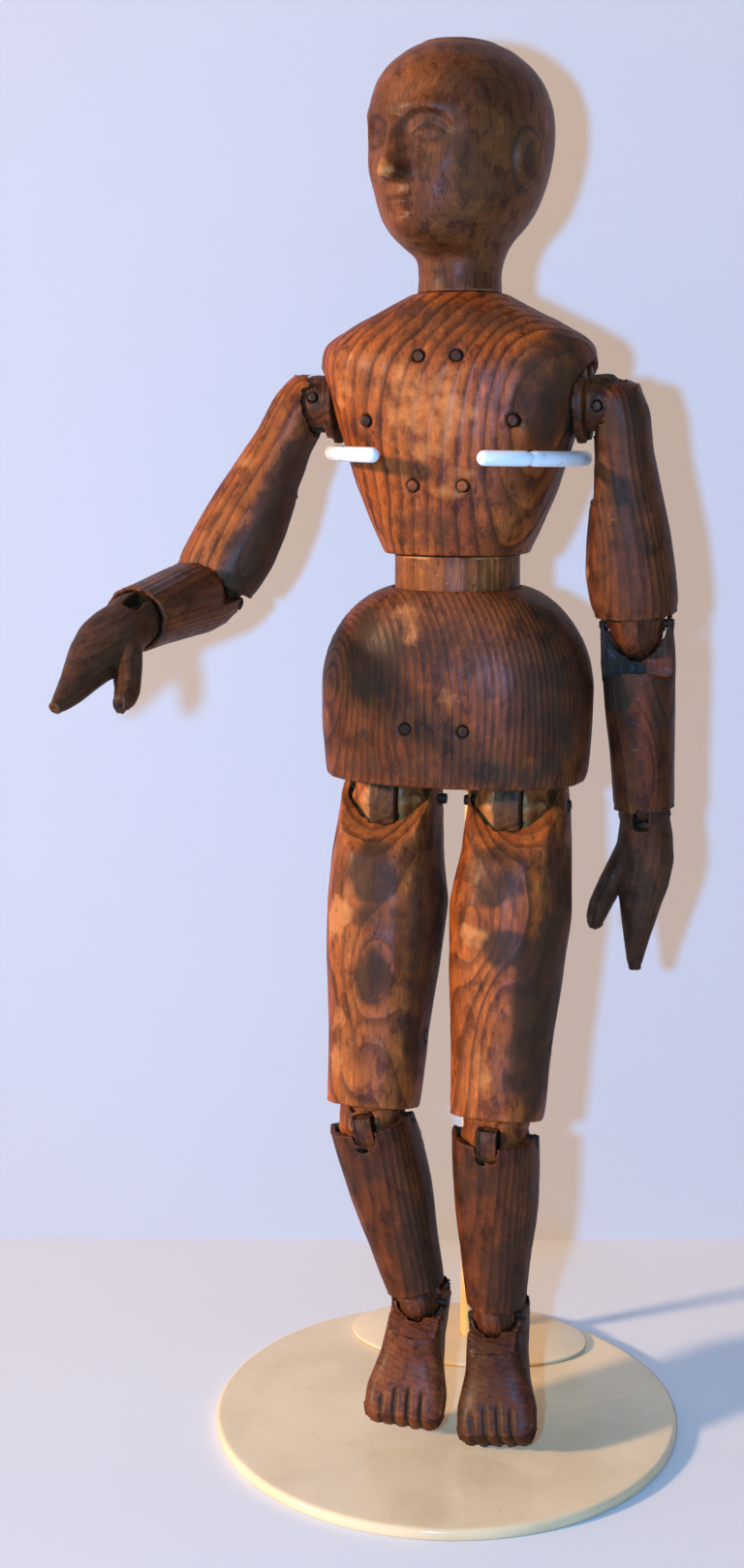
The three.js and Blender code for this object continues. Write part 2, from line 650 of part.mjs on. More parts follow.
// Arms
function makeArm(side, sign, parent) {
  const rest = pose[side];
  const darkWood = side === 'left' ? 0x5e3820 : 0x74431f;

  // Shoulder block: a dowel and disc that turn in the chest's side, and a slotted ball for the arm
  const shoulder = jointGroup([sign * shoulderX, 0, shoulderZ], [-rest.swing, 0, 0]);
  const discFrom = sign * (shoulderSeatX + seatGap - shoulderX);
  const dowelEnd = sign * (shoulderSeatX - shoulderDowelLength - shoulderX);
  const grooveX = sign * (shoulderPegX - shoulderX);
  const grooveHalf = pegRadius + seatGap;
  const dowel = bar(shoulderDowelRadius, [dowelEnd, 0, 0], [discFrom + sign, 0, 0], 14)
    .subtract(bar(shoulderDowelRadius + 1, [grooveX - grooveHalf, 0, 0], [grooveX + grooveHalf, 0, 0], 14)
      .subtract(bar(shoulderGroove, [grooveX - 9, 0, 0], [grooveX + 9, 0, 0], 16)));
  const disc = bar(shoulderBlockRadius, [discFrom, 0, 0], [discFrom + sign * 4.4, 0, 0], 20);
  const neck = bar(shoulderBallRadius - 2.4, [discFrom, 0, 0], [0, 0, 0], 14);
  const slotDepth = shoulderTongueRadius + seatGap;
  const slotWidth = shoulderTongueThickness + 2 * seatGap;
  const slot = block([40, slotWidth, 40], [sign * (20 - slotDepth), 0, 0]);
  const pinAcross = (radius, half) => bar(radius, [0, -half, 0], [0, half, 0], 8);
  const pinBore = hole(limbPinRadius, [0, -30, 0], [0, 30, 0], 8);
  const pinHalf = shoulderBallRadius - 0.2;
  const shoulderBlock = disc.add(neck).add(ball(shoulderBallRadius)).subtract(slot).add(dowel)
    .subtract(pinBore);
  shoulder.add(mesh(`${side}_shoulder_block`, shoulderBlock, wood(darkWood)));

  // Upper arm: hangs outside the ball on a tongue, with the elbow knuckle at its lower end
  const upper = jointGroup([0, 0, 0], [0, -sign * rest.raise, 0]);
  const x = sign * armOffset;
  const bottom = -upperArmLength;
  const armSections = [
    [bottom, x + sign * 1.5, 0, upperArmHalfWidth - 1.6, upperArmHalfDepth - 0.6],
    [0.94 * bottom, x + sign, 0, upperArmHalfWidth - 0.5, upperArmHalfDepth],
    [0.8 * bottom, x, 0, upperArmHalfWidth, upperArmHalfDepth],
    [0.62 * bottom, x, 0, upperArmHalfWidth - 1.4, upperArmHalfDepth - 0.6],
    [0.42 * bottom, x, 0, upperArmHalfWidth - 4.4, upperArmHalfDepth - 1.6],
    [0.24 * bottom, x, 0, upperArmPitHalfWidth, upperArmHalfDepth - 2.4],
    [0.06 * bottom, x - sign * 0.5, 0, upperArmPitHalfWidth, upperArmHalfDepth - 2.6],
    [0.4 * upperArmTop, x - sign * 2, 0, upperArmPitHalfWidth - 1.6, upperArmHalfDepth - 3.4],
    [0.76 * upperArmTop, x - sign * 3.8, 0, upperArmPitHalfWidth - 4.4, upperArmHalfDepth - 6],
    [upperArmTop, x - sign * 5, 0, upperArmPitHalfWidth - 8, upperArmHalfDepth - 10.4],
  ];
  const tongueReach = shoulderBallRadius + 3;
  const tongueSize = [tongueReach, shoulderTongueThickness, 2 * shoulderTongueRadius];
  const tongue = block(tongueSize, [sign * tongueReach / 2, 0, 0])
    .add(pinAcross(shoulderTongueRadius, shoulderTongueThickness / 2));
  const elbowAt = [x + sign * 1.5, 0, bottom - elbowRise];
  const elbow = jointGroup(elbowAt, [-rest.elbow, 0, rest.elbowTurn], 'ZYX');
  const knuckle = ball(elbowBallRadius)
    .add(plateAcross(discShape(elbowTongueRadius), elbowTongueThickness, 8))
    .subtract(hole(limbPinRadius, [-40, 0, 0], [40, 0, 0]))
    .subtract(block([80, 80, 60], [0, 0, 30 + elbowRise + 1]));
  const inner = block([60, 60, 80], [-sign * (30 + 0.35 * shoulderBallRadius), 0, 0]);
  let upperArm = limb(armSections, 2.3).subtract(cup(shoulderBallRadius)).subtract(inner);
  upperArm = upperArm.add(tongue).subtract(pinBore);
  elbow.rotation.x = 0;
  upperArm = upperArm.add(placed(knuckle, elbow));
  elbow.rotation.x = degToRad(-rest.elbow);
  upper.add(mesh(`${side}_upper_arm`, upperArm, wood(darkWood)));
  shoulder.add(mesh(`${side}_shoulder_pin`, pinAcross(limbPinRadius, pinHalf), wood(0x38241a, 0.6)));

  // Forearm: cup and slot for the elbow, hollow end with a tongue for the wrist
  const end = -forearmLength;
  const forearmSections = [
    [end, 0, 0, wristHalfWidth, wristHalfWidth - 0.4],
    [0.8 * end, 0, 0, wristHalfWidth + 0.3, wristHalfWidth],
    [0.5 * end, 0, 0, forearmHalfWidth - 1.5, forearmHalfDepth - 0.8],
    [0.22 * end, 0, 0, forearmHalfWidth, forearmHalfDepth],
    [0, 0, 0, forearmHalfWidth - 0.5, forearmHalfDepth],
    [elbowEarRadius + 1, 0, 0, forearmHalfWidth - 0.8, forearmHalfDepth - 0.4],
  ];
  const wrist = jointGroup([0, 0, end - wristRise], [rest.wrist, 0, 0]);
  const wristTop = wristBallRadius + 2;
  const wristTongue = block([wristTongueThickness, 2 * wristTongueRadius, wristTop], [0, 0, wristTop / 2])
    .add(plateAcross(discShape(wristTongueRadius), wristTongueThickness, 5))
    .subtract(hole(smallPinRadius, [-20, 0, 0], [20, 0, 0]));
  let forearm = hingedEnd(limb(forearmSections, 2.3), {
    ballRadius: elbowBallRadius, tongueRadius: elbowTongueRadius, tongueThickness: elbowTongueThickness,
    earRadius: elbowEarRadius, forward: elbowBendLimit, back: elbowBackLimit,
    biteRadius: Math.hypot(upperArmHalfDepth, forearmHalfDepth) + 1, pinRadius: limbPinRadius,
  });
  forearm = forearm.subtract(cup(wristBallRadius, [0, 0, end - wristRise]));
  forearm = forearm.add(wristTongue.translate([0, 0, end - wristRise]));
  elbow.add(mesh(`${side}_forearm`, forearm, wood(0x5a3520)));
  const elbowPin = bar(limbPinRadius, [0.4 - forearmHalfWidth, 0, 0], [forearmHalfWidth - 0.4, 0, 0]);
  elbow.add(mesh(`${side}_elbow_pin`, elbowPin, wood(0x38241a, 0.6)));

  // Hand: a mitten with a thumb, its root a slotted ball
  const lean = -sign * 0.1;
  const fingerSections = [
    [-handLength, lean * handLength, 0, 2.6, 2.2], [-0.96 * handLength, lean * handLength, 0, 4, 3.2],
    [-0.82 * handLength, 0.86 * lean * handLength, 0, 6, 4.6],
    [-0.66 * handLength, 0.6 * lean * handLength, 0, 8.4, 6],
    [-0.48 * handLength, 0.3 * lean * handLength, 0, palmHalfWidth - 2, palmHalfThickness - 1.4],
    [-0.3 * handLength, 0.1 * lean * handLength, 0, palmHalfWidth, palmHalfThickness],
    [-0.14 * handLength, 0, 0, palmHalfWidth - 0.8, palmHalfThickness + 1],
    [-1, 0, 0, wristBallRadius - 1, wristBallRadius - 2.6],
  ];
  const thumbTip = -sign * thumbReach;
  const thumbSections = [
    [-thumbLength, thumbTip, 0, 2.4, 2.6], [-0.94 * thumbLength, 0.985 * thumbTip, 0, 4, 4],
    [-0.78 * thumbLength, 0.86 * thumbTip, 0, 5, 5.2], [-0.56 * thumbLength, 0.58 * thumbTip, 0, 6.6, 6.4],
    [-0.24 * thumbLength, 0.2 * thumbTip, 0, 7.6, 7],
  ];
  const handSlot = block([wristTongueThickness + 2 * seatGap, 40, 20 + wristTongueRadius + cupGap],
    [0, 0, 10 - (wristTongueRadius + cupGap) / 2]);
  const hand = limb(fingerSections, 2.2, 14).add(limb(thumbSections, 2, 10)).add(ball(wristBallRadius))
    .subtract(handSlot).subtract(hole(smallPinRadius, [-30, 0, 0], [30, 0, 0]));
  wrist.add(mesh(`${side}_hand`, hand, wood(0x4a2d1e)));
  const wristPin = bar(smallPinRadius, [0.5 - wristBallRadius, 0, 0], [wristBallRadius - 0.5, 0, 0]);
  wrist.add(mesh(`${side}_wrist_pin`, wristPin, wood(0x38241a, 0.6)));

  elbow.add(wrist);
  upper.add(elbow);
  shoulder.add(upper);
  parent.add(shoulder);
}

// Legs
function makeLeg(side, sign, parent) {
  const rest = pose[side];
  const legWood = side === 'left' ? 0x8a4a22 : 0x99552a;

  // Hip block: a dowel that turns in the pelvis over a ball, with a loose tongue let into it
  const turn = jointGroup([sign * hipX, 0, hipZ], [0, 0, 0]);
  const hipRise = pelvisBottom - hipZ;
  const dowelTop = hipRise + hipDowelLength;
  const hipPlate = (grow) => plateAcross(
    tongueShape(hipTongueRadius, hipRise - 1.2, hipTailHalfWidth, hipTailLength, grow),
    hipTongueThickness + 2 * grow, 8);
  const pinHole = (radius) => hole(radius, [-40, 0, 0], [40, 0, 0]);
  const dowel = groovedDowel(hipDowelRadius, 0, dowelTop, hipPegHeight - hipZ, hipGroove);
  const belowPelvis = block([90, 90, 60], [0, 0, 30 + hipRise - seatGap]);
  const hipBlock = ball(hipBallRadius).subtract(belowPelvis).add(dowel).subtract(hipPlate(seatGap))
    .subtract(pinHole(hipPinRadius));
  turn.add(mesh(`${side}_hip_block`, hipBlock, wood(0x96562c)));
  turn.add(mesh(`${side}_hip_tongue`, hipPlate(0).subtract(pinHole(hipPinRadius)), wood(0x6b4a2c)));

  // Thigh: cup and slot for the hip, knuckle with a loose tongue for the knee
  const swing = jointGroup([0, 0, 0], [-rest.hip, 0, 0]);
  const bottom = -thighLength;
  const thighSections = [
    [bottom, 0, 0, thighBottomHalfWidth, thighBottomHalfDepth],
    [0.96 * bottom, 0, 0, thighBottomHalfWidth + 0.6, thighBottomHalfDepth + 0.6],
    [0.76 * bottom, 0, 0, thighBottomHalfWidth + 2, thighBottomHalfDepth + 1.6],
    [0.54 * bottom, 0, 0, thighHalfWidth - 1.8, thighHalfDepth - 1.6],
    [0.33 * bottom, 0, 0, thighHalfWidth, thighHalfDepth],
    [0.16 * bottom, sign * 1.2, 0, thighHalfWidth - 2.6, thighHalfDepth - 1.2],
    [0, sign, 0, thighTopHalfWidth - 1, thighTopHalfWidth],
    [hipEarRadius + 1, 0, 0, thighTopHalfWidth - 1.4, thighTopHalfWidth - 1.4],
  ];
  const knee = jointGroup([0, 0, bottom - kneeRise], [rest.knee, sign * rest.kneeLean, 0]);
  const kneePlate = (grow) => plateAcross(
    tongueShape(kneeTongueRadius, kneeRise - 4, kneeTailHalfWidth, kneeTailLength, grow),
    kneeTongueThickness + 2 * grow, 8);
  let thigh = hingedEnd(limb(thighSections, 2.25, 16), {
    ballRadius: hipBallRadius, tongueRadius: hipTongueRadius, tongueThickness: hipTongueThickness,
    earRadius: hipEarRadius, forward: hipBendLimit, back: hipBackLimit, biteRadius: 2.2 * thighHalfDepth,
    pinRadius: hipPinRadius,
  });
  knee.rotation.x = 0;
  const kneePegZ = bottom + kneePegHeight;
  const kneePegHalf = thighBottomHalfWidth + 1.6;
  const kneePeg = bar(pegRadius, [-kneePegHalf, 0, kneePegZ], [kneePegHalf, 0, kneePegZ], 8);
  const kneePegHole = hole(pegRadius, [-60, 0, kneePegZ], [60, 0, kneePegZ], 8);
  thigh = thigh.add(placed(ball(kneeBallRadius), knee)).subtract(placed(kneePlate(seatGap), knee))
    .subtract(placed(pinHole(limbPinRadius), knee)).subtract(kneePegHole);
  const kneeTongue = placed(kneePlate(0).subtract(pinHole(limbPinRadius)), knee).subtract(kneePegHole);
  swing.add(mesh(`${side}_knee_tongue`, kneeTongue, wood(0x6b4a2c)));
  knee.rotation.x = degToRad(rest.knee);
  swing.add(mesh(`${side}_thigh`, thigh, wood(legWood)));
  swing.add(mesh(`${side}_knee_peg`, kneePeg, wood(0x38241a, 0.6)));
  const hipPin = bar(hipPinRadius, [-thighTopHalfWidth - 0.4, 0, 0], [thighTopHalfWidth + 0.4, 0, 0]);
  swing.add(mesh(`${side}_hip_pin`, hipPin, wood(0x38241a, 0.6)));

  // Shin: cup and slot for the knee, knuckle for the ankle
  const end = -shinLength + ankleRise;
  const shinSections = [
    [end, 0, 0, ankleHalfWidth, ankleHalfWidth],
    [0.7 * end, 0, 0.6, ankleHalfWidth + 2.6, ankleHalfWidth + 2],
    [0.42 * end, 0, 1.6, shinTopHalfWidth - 1, calfHalfDepth - 1],
    [0.2 * end, 0, 1.4, shinTopHalfWidth - 0.3, calfHalfDepth],
    [0, 0, 0.4, shinTopHalfWidth, calfHalfDepth],
    [kneeEarRadius + 1, 0, 0.4, shinTopHalfWidth - 0.4, calfHalfDepth],
  ];
  const ankle = jointGroup([0, 0, -shinLength], [rest.ankle, -sign * rest.footLean, 0]);
  const ankleKnuckle = ball(ankleBallRadius)
    .add(plateAcross(discShape(ankleTongueRadius), ankleTongueThickness, 7))
    .subtract(block([60, 60, 40], [0, 0, 20 + ankleRise + 1]));
  let shin = hingedEnd(limb(shinSections, 2.25), {
    ballRadius: kneeBallRadius, tongueRadius: kneeTongueRadius, tongueThickness: kneeTongueThickness,
    earRadius: kneeEarRadius, forward: kneeForwardLimit, back: kneeBendLimit,
    biteRadius: Math.hypot(thighBottomHalfDepth, calfHalfDepth) + 1, pinRadius: limbPinRadius,
  });
  ankle.rotation.x = 0;
  shin = shin.add(placed(ankleKnuckle, ankle)).subtract(placed(pinHole(limbPinRadius), ankle));
  ankle.rotation.x = degToRad(rest.ankle);
  knee.add(mesh(`${side}_shin`, shin, wood(0x6e3d22)));
  const kneePin = bar(limbPinRadius, [0.3 - shinTopHalfWidth, 0, 0], [shinTopHalfWidth - 0.3, 0, 0]);
  knee.add(mesh(`${side}_knee_pin`, kneePin, wood(0x38241a, 0.6)));

  // Foot: from the heel forward to the toes, level when the ankle is straight
  const sole = -footDrop;
  const footSections = [
    [heelReach, 8, 6], [heelReach - 2, 11, 9], [heelReach - 9, 12.8, 12.4], [0, 13, 13.4],
    [-0.22 * footLength, 13.6, 12.4], [-0.45 * footLength, 15, 10], [-0.7 * footLength, footHalfWidth, 7.4],
    [-0.88 * footLength, footHalfWidth, 6], [-0.97 * footLength, footHalfWidth - 1.6, 5],
    [-footLength, footHalfWidth - 4.4, 3.2],
  ];
  const footRings = footSections.map(([y, halfWidth, halfHeight]) => {
    const level = ring(0, 0, 0, halfWidth, halfHeight, 2.6, 16);
    return level.map((p) => new THREE.Vector3(p.x, y, sole + halfHeight + p.y));
  });
  const instep = limb([
    [sole + 6, 0, 0, 12, 12], [sole + 15, 0, 0, ankleHalfWidth, ankleHalfWidth - 0.6],
    [ankleEarRadius + 1, 0, 0, ankleHalfWidth, ankleHalfWidth - 0.8],
  ], 2.2, 14);
  const foot = hingedEnd(skin(footRings).add(instep), {
    ballRadius: ankleBallRadius, tongueRadius: ankleTongueRadius, tongueThickness: ankleTongueThickness,
    earRadius: ankleEarRadius, forward: ankleUpLimit, back: ankleDownLimit,
    biteRadius: Math.hypot(ankleHalfWidth, ankleHalfWidth) + 1, pinRadius: limbPinRadius,
  });
  ankle.add(mesh(`${side}_foot`, foot, wood(0x5e3420)));
  const anklePin = bar(limbPinRadius, [0.4 - ankleHalfWidth, 0, 0], [ankleHalfWidth - 0.4, 0, 0]);
  ankle.add(mesh(`${side}_ankle_pin`, anklePin, wood(0x38241a, 0.6)));

  knee.add(ankle);
  swing.add(knee);
  turn.add(swing);
  parent.add(turn);
}

for (const [side, sign] of [['left', 1], ['right', -1]]) {
  makeArm(side, sign, figure);
  makeLeg(side, sign, figure);
}

export default model;
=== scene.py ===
import json
import math

import bmesh
import bpy
import numpy as np
from mathutils import Euler, Matrix, Vector
from mathutils.kdtree import KDTree


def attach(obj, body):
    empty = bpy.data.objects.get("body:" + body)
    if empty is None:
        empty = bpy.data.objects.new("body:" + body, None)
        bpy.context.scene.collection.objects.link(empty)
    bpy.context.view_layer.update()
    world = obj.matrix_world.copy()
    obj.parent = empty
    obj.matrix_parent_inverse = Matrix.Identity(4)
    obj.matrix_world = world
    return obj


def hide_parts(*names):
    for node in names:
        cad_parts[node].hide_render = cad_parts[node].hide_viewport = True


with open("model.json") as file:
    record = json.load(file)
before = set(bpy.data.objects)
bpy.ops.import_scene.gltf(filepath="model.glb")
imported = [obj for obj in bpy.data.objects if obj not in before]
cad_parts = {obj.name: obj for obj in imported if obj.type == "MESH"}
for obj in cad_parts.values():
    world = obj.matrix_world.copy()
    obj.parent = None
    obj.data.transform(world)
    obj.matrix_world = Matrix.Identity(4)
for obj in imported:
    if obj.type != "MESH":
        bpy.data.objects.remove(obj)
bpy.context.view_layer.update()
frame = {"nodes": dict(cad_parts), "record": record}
nodes = frame["nodes"]
bodyOf = {node: body for body, members in frame["record"]["behaviour"]["bodies"].items() for node in members}
mm = 0.001

# lay of the figure in the frame in mm and degrees, the same numbers that the solids use
figureY = 17
figureTurn = -6
neckHeight = 502.7
headTurn = -25
shoulderOut, shoulderHeight = 62, 457
elbowOut, upperLength, forearmLength = 9.5, 94.6, 83.6
hipOut, hipHeight = 28, 285
thighLength, shinLength = 145, 86
pose = {
    "left": {"swing": -7, "raise": 3.2, "elbowTurn": 0, "elbow": 4, "wrist": 0,
             "hip": 13.5, "knee": 17, "kneeLean": 0, "ankle": 40.5, "footLean": 9},
    "right": {"swing": 13.5, "raise": 23, "elbowTurn": 7, "elbow": 74, "wrist": 17,
              "hip": 13.5, "knee": 17, "kneeLean": 14.4, "ankle": 41.5, "footLean": 17},
}


def turn(x=0, y=0, z=0, order="XYZ"):
    return Euler((math.radians(x), math.radians(y), math.radians(z)), order).to_matrix().to_4x4()


def shift(x, y, z):
    return Matrix.Translation(Vector((x, y, z)))


figureFrame = shift(0, figureY, 0) @ turn(z=figureTurn)


def limbFrames(side):
    sign = 1 if side == "left" else -1
    rest = pose[side]
    frames = {}
    frames["shoulder"] = figureFrame @ shift(sign * shoulderOut, 0, shoulderHeight) @ turn(x=-rest["swing"])
    frames["upper"] = frames["shoulder"] @ turn(y=-sign * rest["raise"])
    elbow = frames["upper"] @ shift(sign * elbowOut, 0, -upperLength)
    frames["forearm"] = elbow @ turn(z=rest["elbowTurn"]) @ turn(x=-rest["elbow"])
    frames["hand"] = frames["forearm"] @ shift(0, 0, -forearmLength) @ turn(x=rest["wrist"])
    frames["hip"] = figureFrame @ shift(sign * hipOut, 0, hipHeight)
    frames["thigh"] = frames["hip"] @ turn(x=-rest["hip"])
    knee = frames["thigh"] @ shift(0, 0, -thighLength)
    frames["shin"] = knee @ turn(y=sign * rest["kneeLean"]) @ turn(x=rest["knee"])
    ankle = frames["shin"] @ shift(0, 0, -shinLength)
    frames["foot"] = ankle @ turn(y=-sign * rest["footLean"]) @ turn(x=rest["ankle"])
    return frames


frames = {side: limbFrames(side) for side in ("left", "right")}
headFrame = figureFrame @ shift(0, 0, neckHeight) @ turn(z=headTurn)


def toLocal(points, place):
    back = np.array(place.inverted())
    return points @ back[:3, :3].T + back[:3, 3]


lattice = {"shift": 517.3, "seedStep": 31.7, "seedPrime": 2654435, "primes": (73856093, 19349663, 83492791),
           "mixer": 1274126177, "mask": 0x7fffffff, "levels": 20011}


# soft lattice noise in mm, between -1 and 1
def softNoise(points, size, seed=0):
    scaled = points / size + lattice["shift"] + lattice["seedStep"] * seed
    cell = np.floor(scaled).astype(np.int64)
    part = scaled - cell
    part = part * part * (3 - 2 * part)
    total = np.zeros(len(points))
    for corner in range(8):
        step = np.array([corner & 1, corner >> 1 & 1, corner >> 2 & 1])
        key = cell + step
        mixed = seed * lattice["seedPrime"]
        for axis, prime in enumerate(lattice["primes"]):
            mixed = mixed ^ (key[:, axis] * prime)
        mixed = (mixed ^ (mixed >> 13)) * lattice["mixer"] & lattice["mask"]
        value = 2 * (mixed % lattice["levels"]) / (lattice["levels"] - 1) - 1
        total += value * np.prod(np.where(step, part, 1 - part), axis=1)
    return total


def smoothStep(low, high, value):
    t = np.clip((value - low) / (high - low), 0, 1)
    return t * t * (3 - 2 * t)


def bell(value, centre, spread):
    return np.exp(-((value - centre) / spread) ** 2)


def meshPoints(mesh):
    flat = np.empty(len(mesh.vertices) * 3, np.float32)
    mesh.vertices.foreach_get("co", flat)
    return flat.reshape(-1, 3).astype(float) / mm


def setPoints(mesh, points):
    mesh.vertices.foreach_set("co", (points * mm).astype(np.float32).ravel())
    mesh.update()


def meshNormals(mesh):
    flat = np.empty(len(mesh.vertices) * 3, np.float32)
    mesh.vertices.foreach_get("normal", flat)
    return flat.reshape(-1, 3).astype(float)


def storeValue(mesh, name, values):
    layer = mesh.attributes.new(name, "FLOAT", "POINT")
    layer.data.foreach_set("value", np.asarray(values, np.float32))


def storeVector(mesh, name, values):
    layer = mesh.attributes.new(name, "FLOAT_VECTOR", "POINT")
    layer.data.foreach_set("vector", np.asarray(values, np.float32).ravel())


def newObject(name, mesh):
    thing = bpy.data.objects.new(name, mesh)
    bpy.context.scene.collection.objects.link(thing)
    return thing


def plainMesh(thing):
    # the evaluated result as a mesh of its own, with nothing live on it
    graph = bpy.context.evaluated_depsgraph_get()
    mesh = bpy.data.meshes.new_from_object(thing.evaluated_get(graph))
    thing.modifiers.clear()
    thing.data = mesh
    return thing


def shadeSmooth(mesh, angle=None):
    mesh.polygons.foreach_set("use_smooth", np.ones(len(mesh.polygons), bool))
    if angle:
        mesh.set_sharp_from_angle(angle=math.radians(angle))


# edges sharper than this angle are joint edges, held crisp within a short way; lengths in mm
carving = {"sharp": math.radians(42), "step": 1.2, "hold": 0.4, "firstRounds": 3}


# a copy of a solid, worked to a smooth carved surface with its joint edges kept
def carvedCopy(node, voxel, soften, keep):
    source = bmesh.new()
    source.from_mesh(nodes[node].data)
    bmesh.ops.remove_doubles(source, verts=source.verts, dist=1e-6)
    edgePoints = []
    for edge in source.edges:
        if len(edge.link_faces) == 2 and edge.calc_face_angle(0) > carving["sharp"]:
            a, b = edge.verts[0].co / mm, edge.verts[1].co / mm
            steps = max(2, int((b - a).length / carving["step"]) + 1)
            edgePoints += [a.lerp(b, i / (steps - 1)) for i in range(steps)]
    mesh = bpy.data.meshes.new(node + "_carved")
    source.to_mesh(mesh)
    source.free()
    thing = newObject(node + "_carved", mesh)
    remesh = thing.modifiers.new("grid", "REMESH")
    remesh.mode = "VOXEL"
    remesh.voxel_size = voxel * mm * 1
    plainMesh(thing)
    mesh = thing.data
    points = meshPoints(mesh)
    ends = np.empty(len(mesh.edges) * 2, np.int32)
    mesh.edges.foreach_get("vertices", ends)
    first, second = ends[0::2], ends[1::2]
    count = np.bincount(ends, minlength=len(points))[:, None]

    def relaxed(start, rounds):
        now = start.copy()
        for i in range(rounds):
            total = np.zeros_like(now)
            for k in range(3):
                total[:, k] = np.bincount(first, now[second, k], len(now))
                total[:, k] += np.bincount(second, now[first, k], len(now))
            now += 0.5 * (total / count - now)
        return now

    crisp = relaxed(points, carving["firstRounds"])
    soft = relaxed(crisp, soften)
    tree = KDTree(max(1, len(edgePoints)))
    for i, point in enumerate(edgePoints):
        tree.insert(point, i)
    tree.balance()
    away = np.array([tree.find(point)[2] for point in points]) if edgePoints else np.full(len(points), 99.0)
    share = smoothStep(carving["hold"], keep, away)[:, None]
    setPoints(mesh, crisp * (1 - share) + soft * share)
    return thing, away


print("shaders")


def addNode(tree, kind, **values):
    made = tree.nodes.new(kind)
    for key, value in values.items():
        setattr(made, key, value)
    return made


def feed(tree, socket, value):
    if isinstance(value, bpy.types.NodeSocket):
        tree.links.new(value, socket)
    elif value is not None:
        socket.default_value = value


def maths(tree, operation, first, second=None):
    made = addNode(tree, "ShaderNodeMath", operation=operation)
    feed(tree, made.inputs[0], first)
    feed(tree, made.inputs[1], second)
    return made.outputs[0]


def between(tree, value, low, high, start=0.0, end=1.0):
    made = addNode(tree, "ShaderNodeMapRange", interpolation_type="SMOOTHSTEP")
    names = ("Value", "From Min", "From Max", "To Min", "To Max")
    for name, setting in zip(names, (value, low, high, start, end)):
        feed(tree, made.inputs[name], setting)
    return made.outputs[0]


def blendColour(tree, share, first, second, kind="MIX"):
    made = addNode(tree, "ShaderNodeMix", data_type="RGBA", blend_type=kind)
    feed(tree, made.inputs[0], share)
    feed(tree, made.inputs[6], first)
    feed(tree, made.inputs[7], second)
    return made.outputs[2]


def stretched(tree, vector, scale):
    made = addNode(tree, "ShaderNodeVectorMath", operation="MULTIPLY")
    feed(tree, made.inputs[0], vector)
    made.inputs[1].default_value = scale
    return made.outputs[0]


def fineNoise(tree, vector, scale, detail=3.0, rough=0.55):
    made = addNode(tree, "ShaderNodeTexNoise")
    feed(tree, made.inputs["Vector"], vector)
    made.inputs["Scale"].default_value = scale
    made.inputs["Detail"].default_value = detail
    made.inputs["Roughness"].default_value = rough
    return made.outputs[0]


def newGroup(name, inputs, outputs):
    tree = bpy.data.node_groups.new(name, "ShaderNodeTree")
    for label, kind in inputs:
        tree.interface.new_socket(name=label, in_out="INPUT", socket_type="NodeSocket" + kind)
    for label, kind in outputs:
        tree.interface.new_socket(name=label, in_out="OUTPUT", socket_type="NodeSocket" + kind)
    return tree, tree.nodes.new("NodeGroupInput").outputs, tree.nodes.new("NodeGroupOutput").inputs


surfaceOutputs = [("Colour", "Color"), ("Roughness", "Float"), ("Height", "Float")]


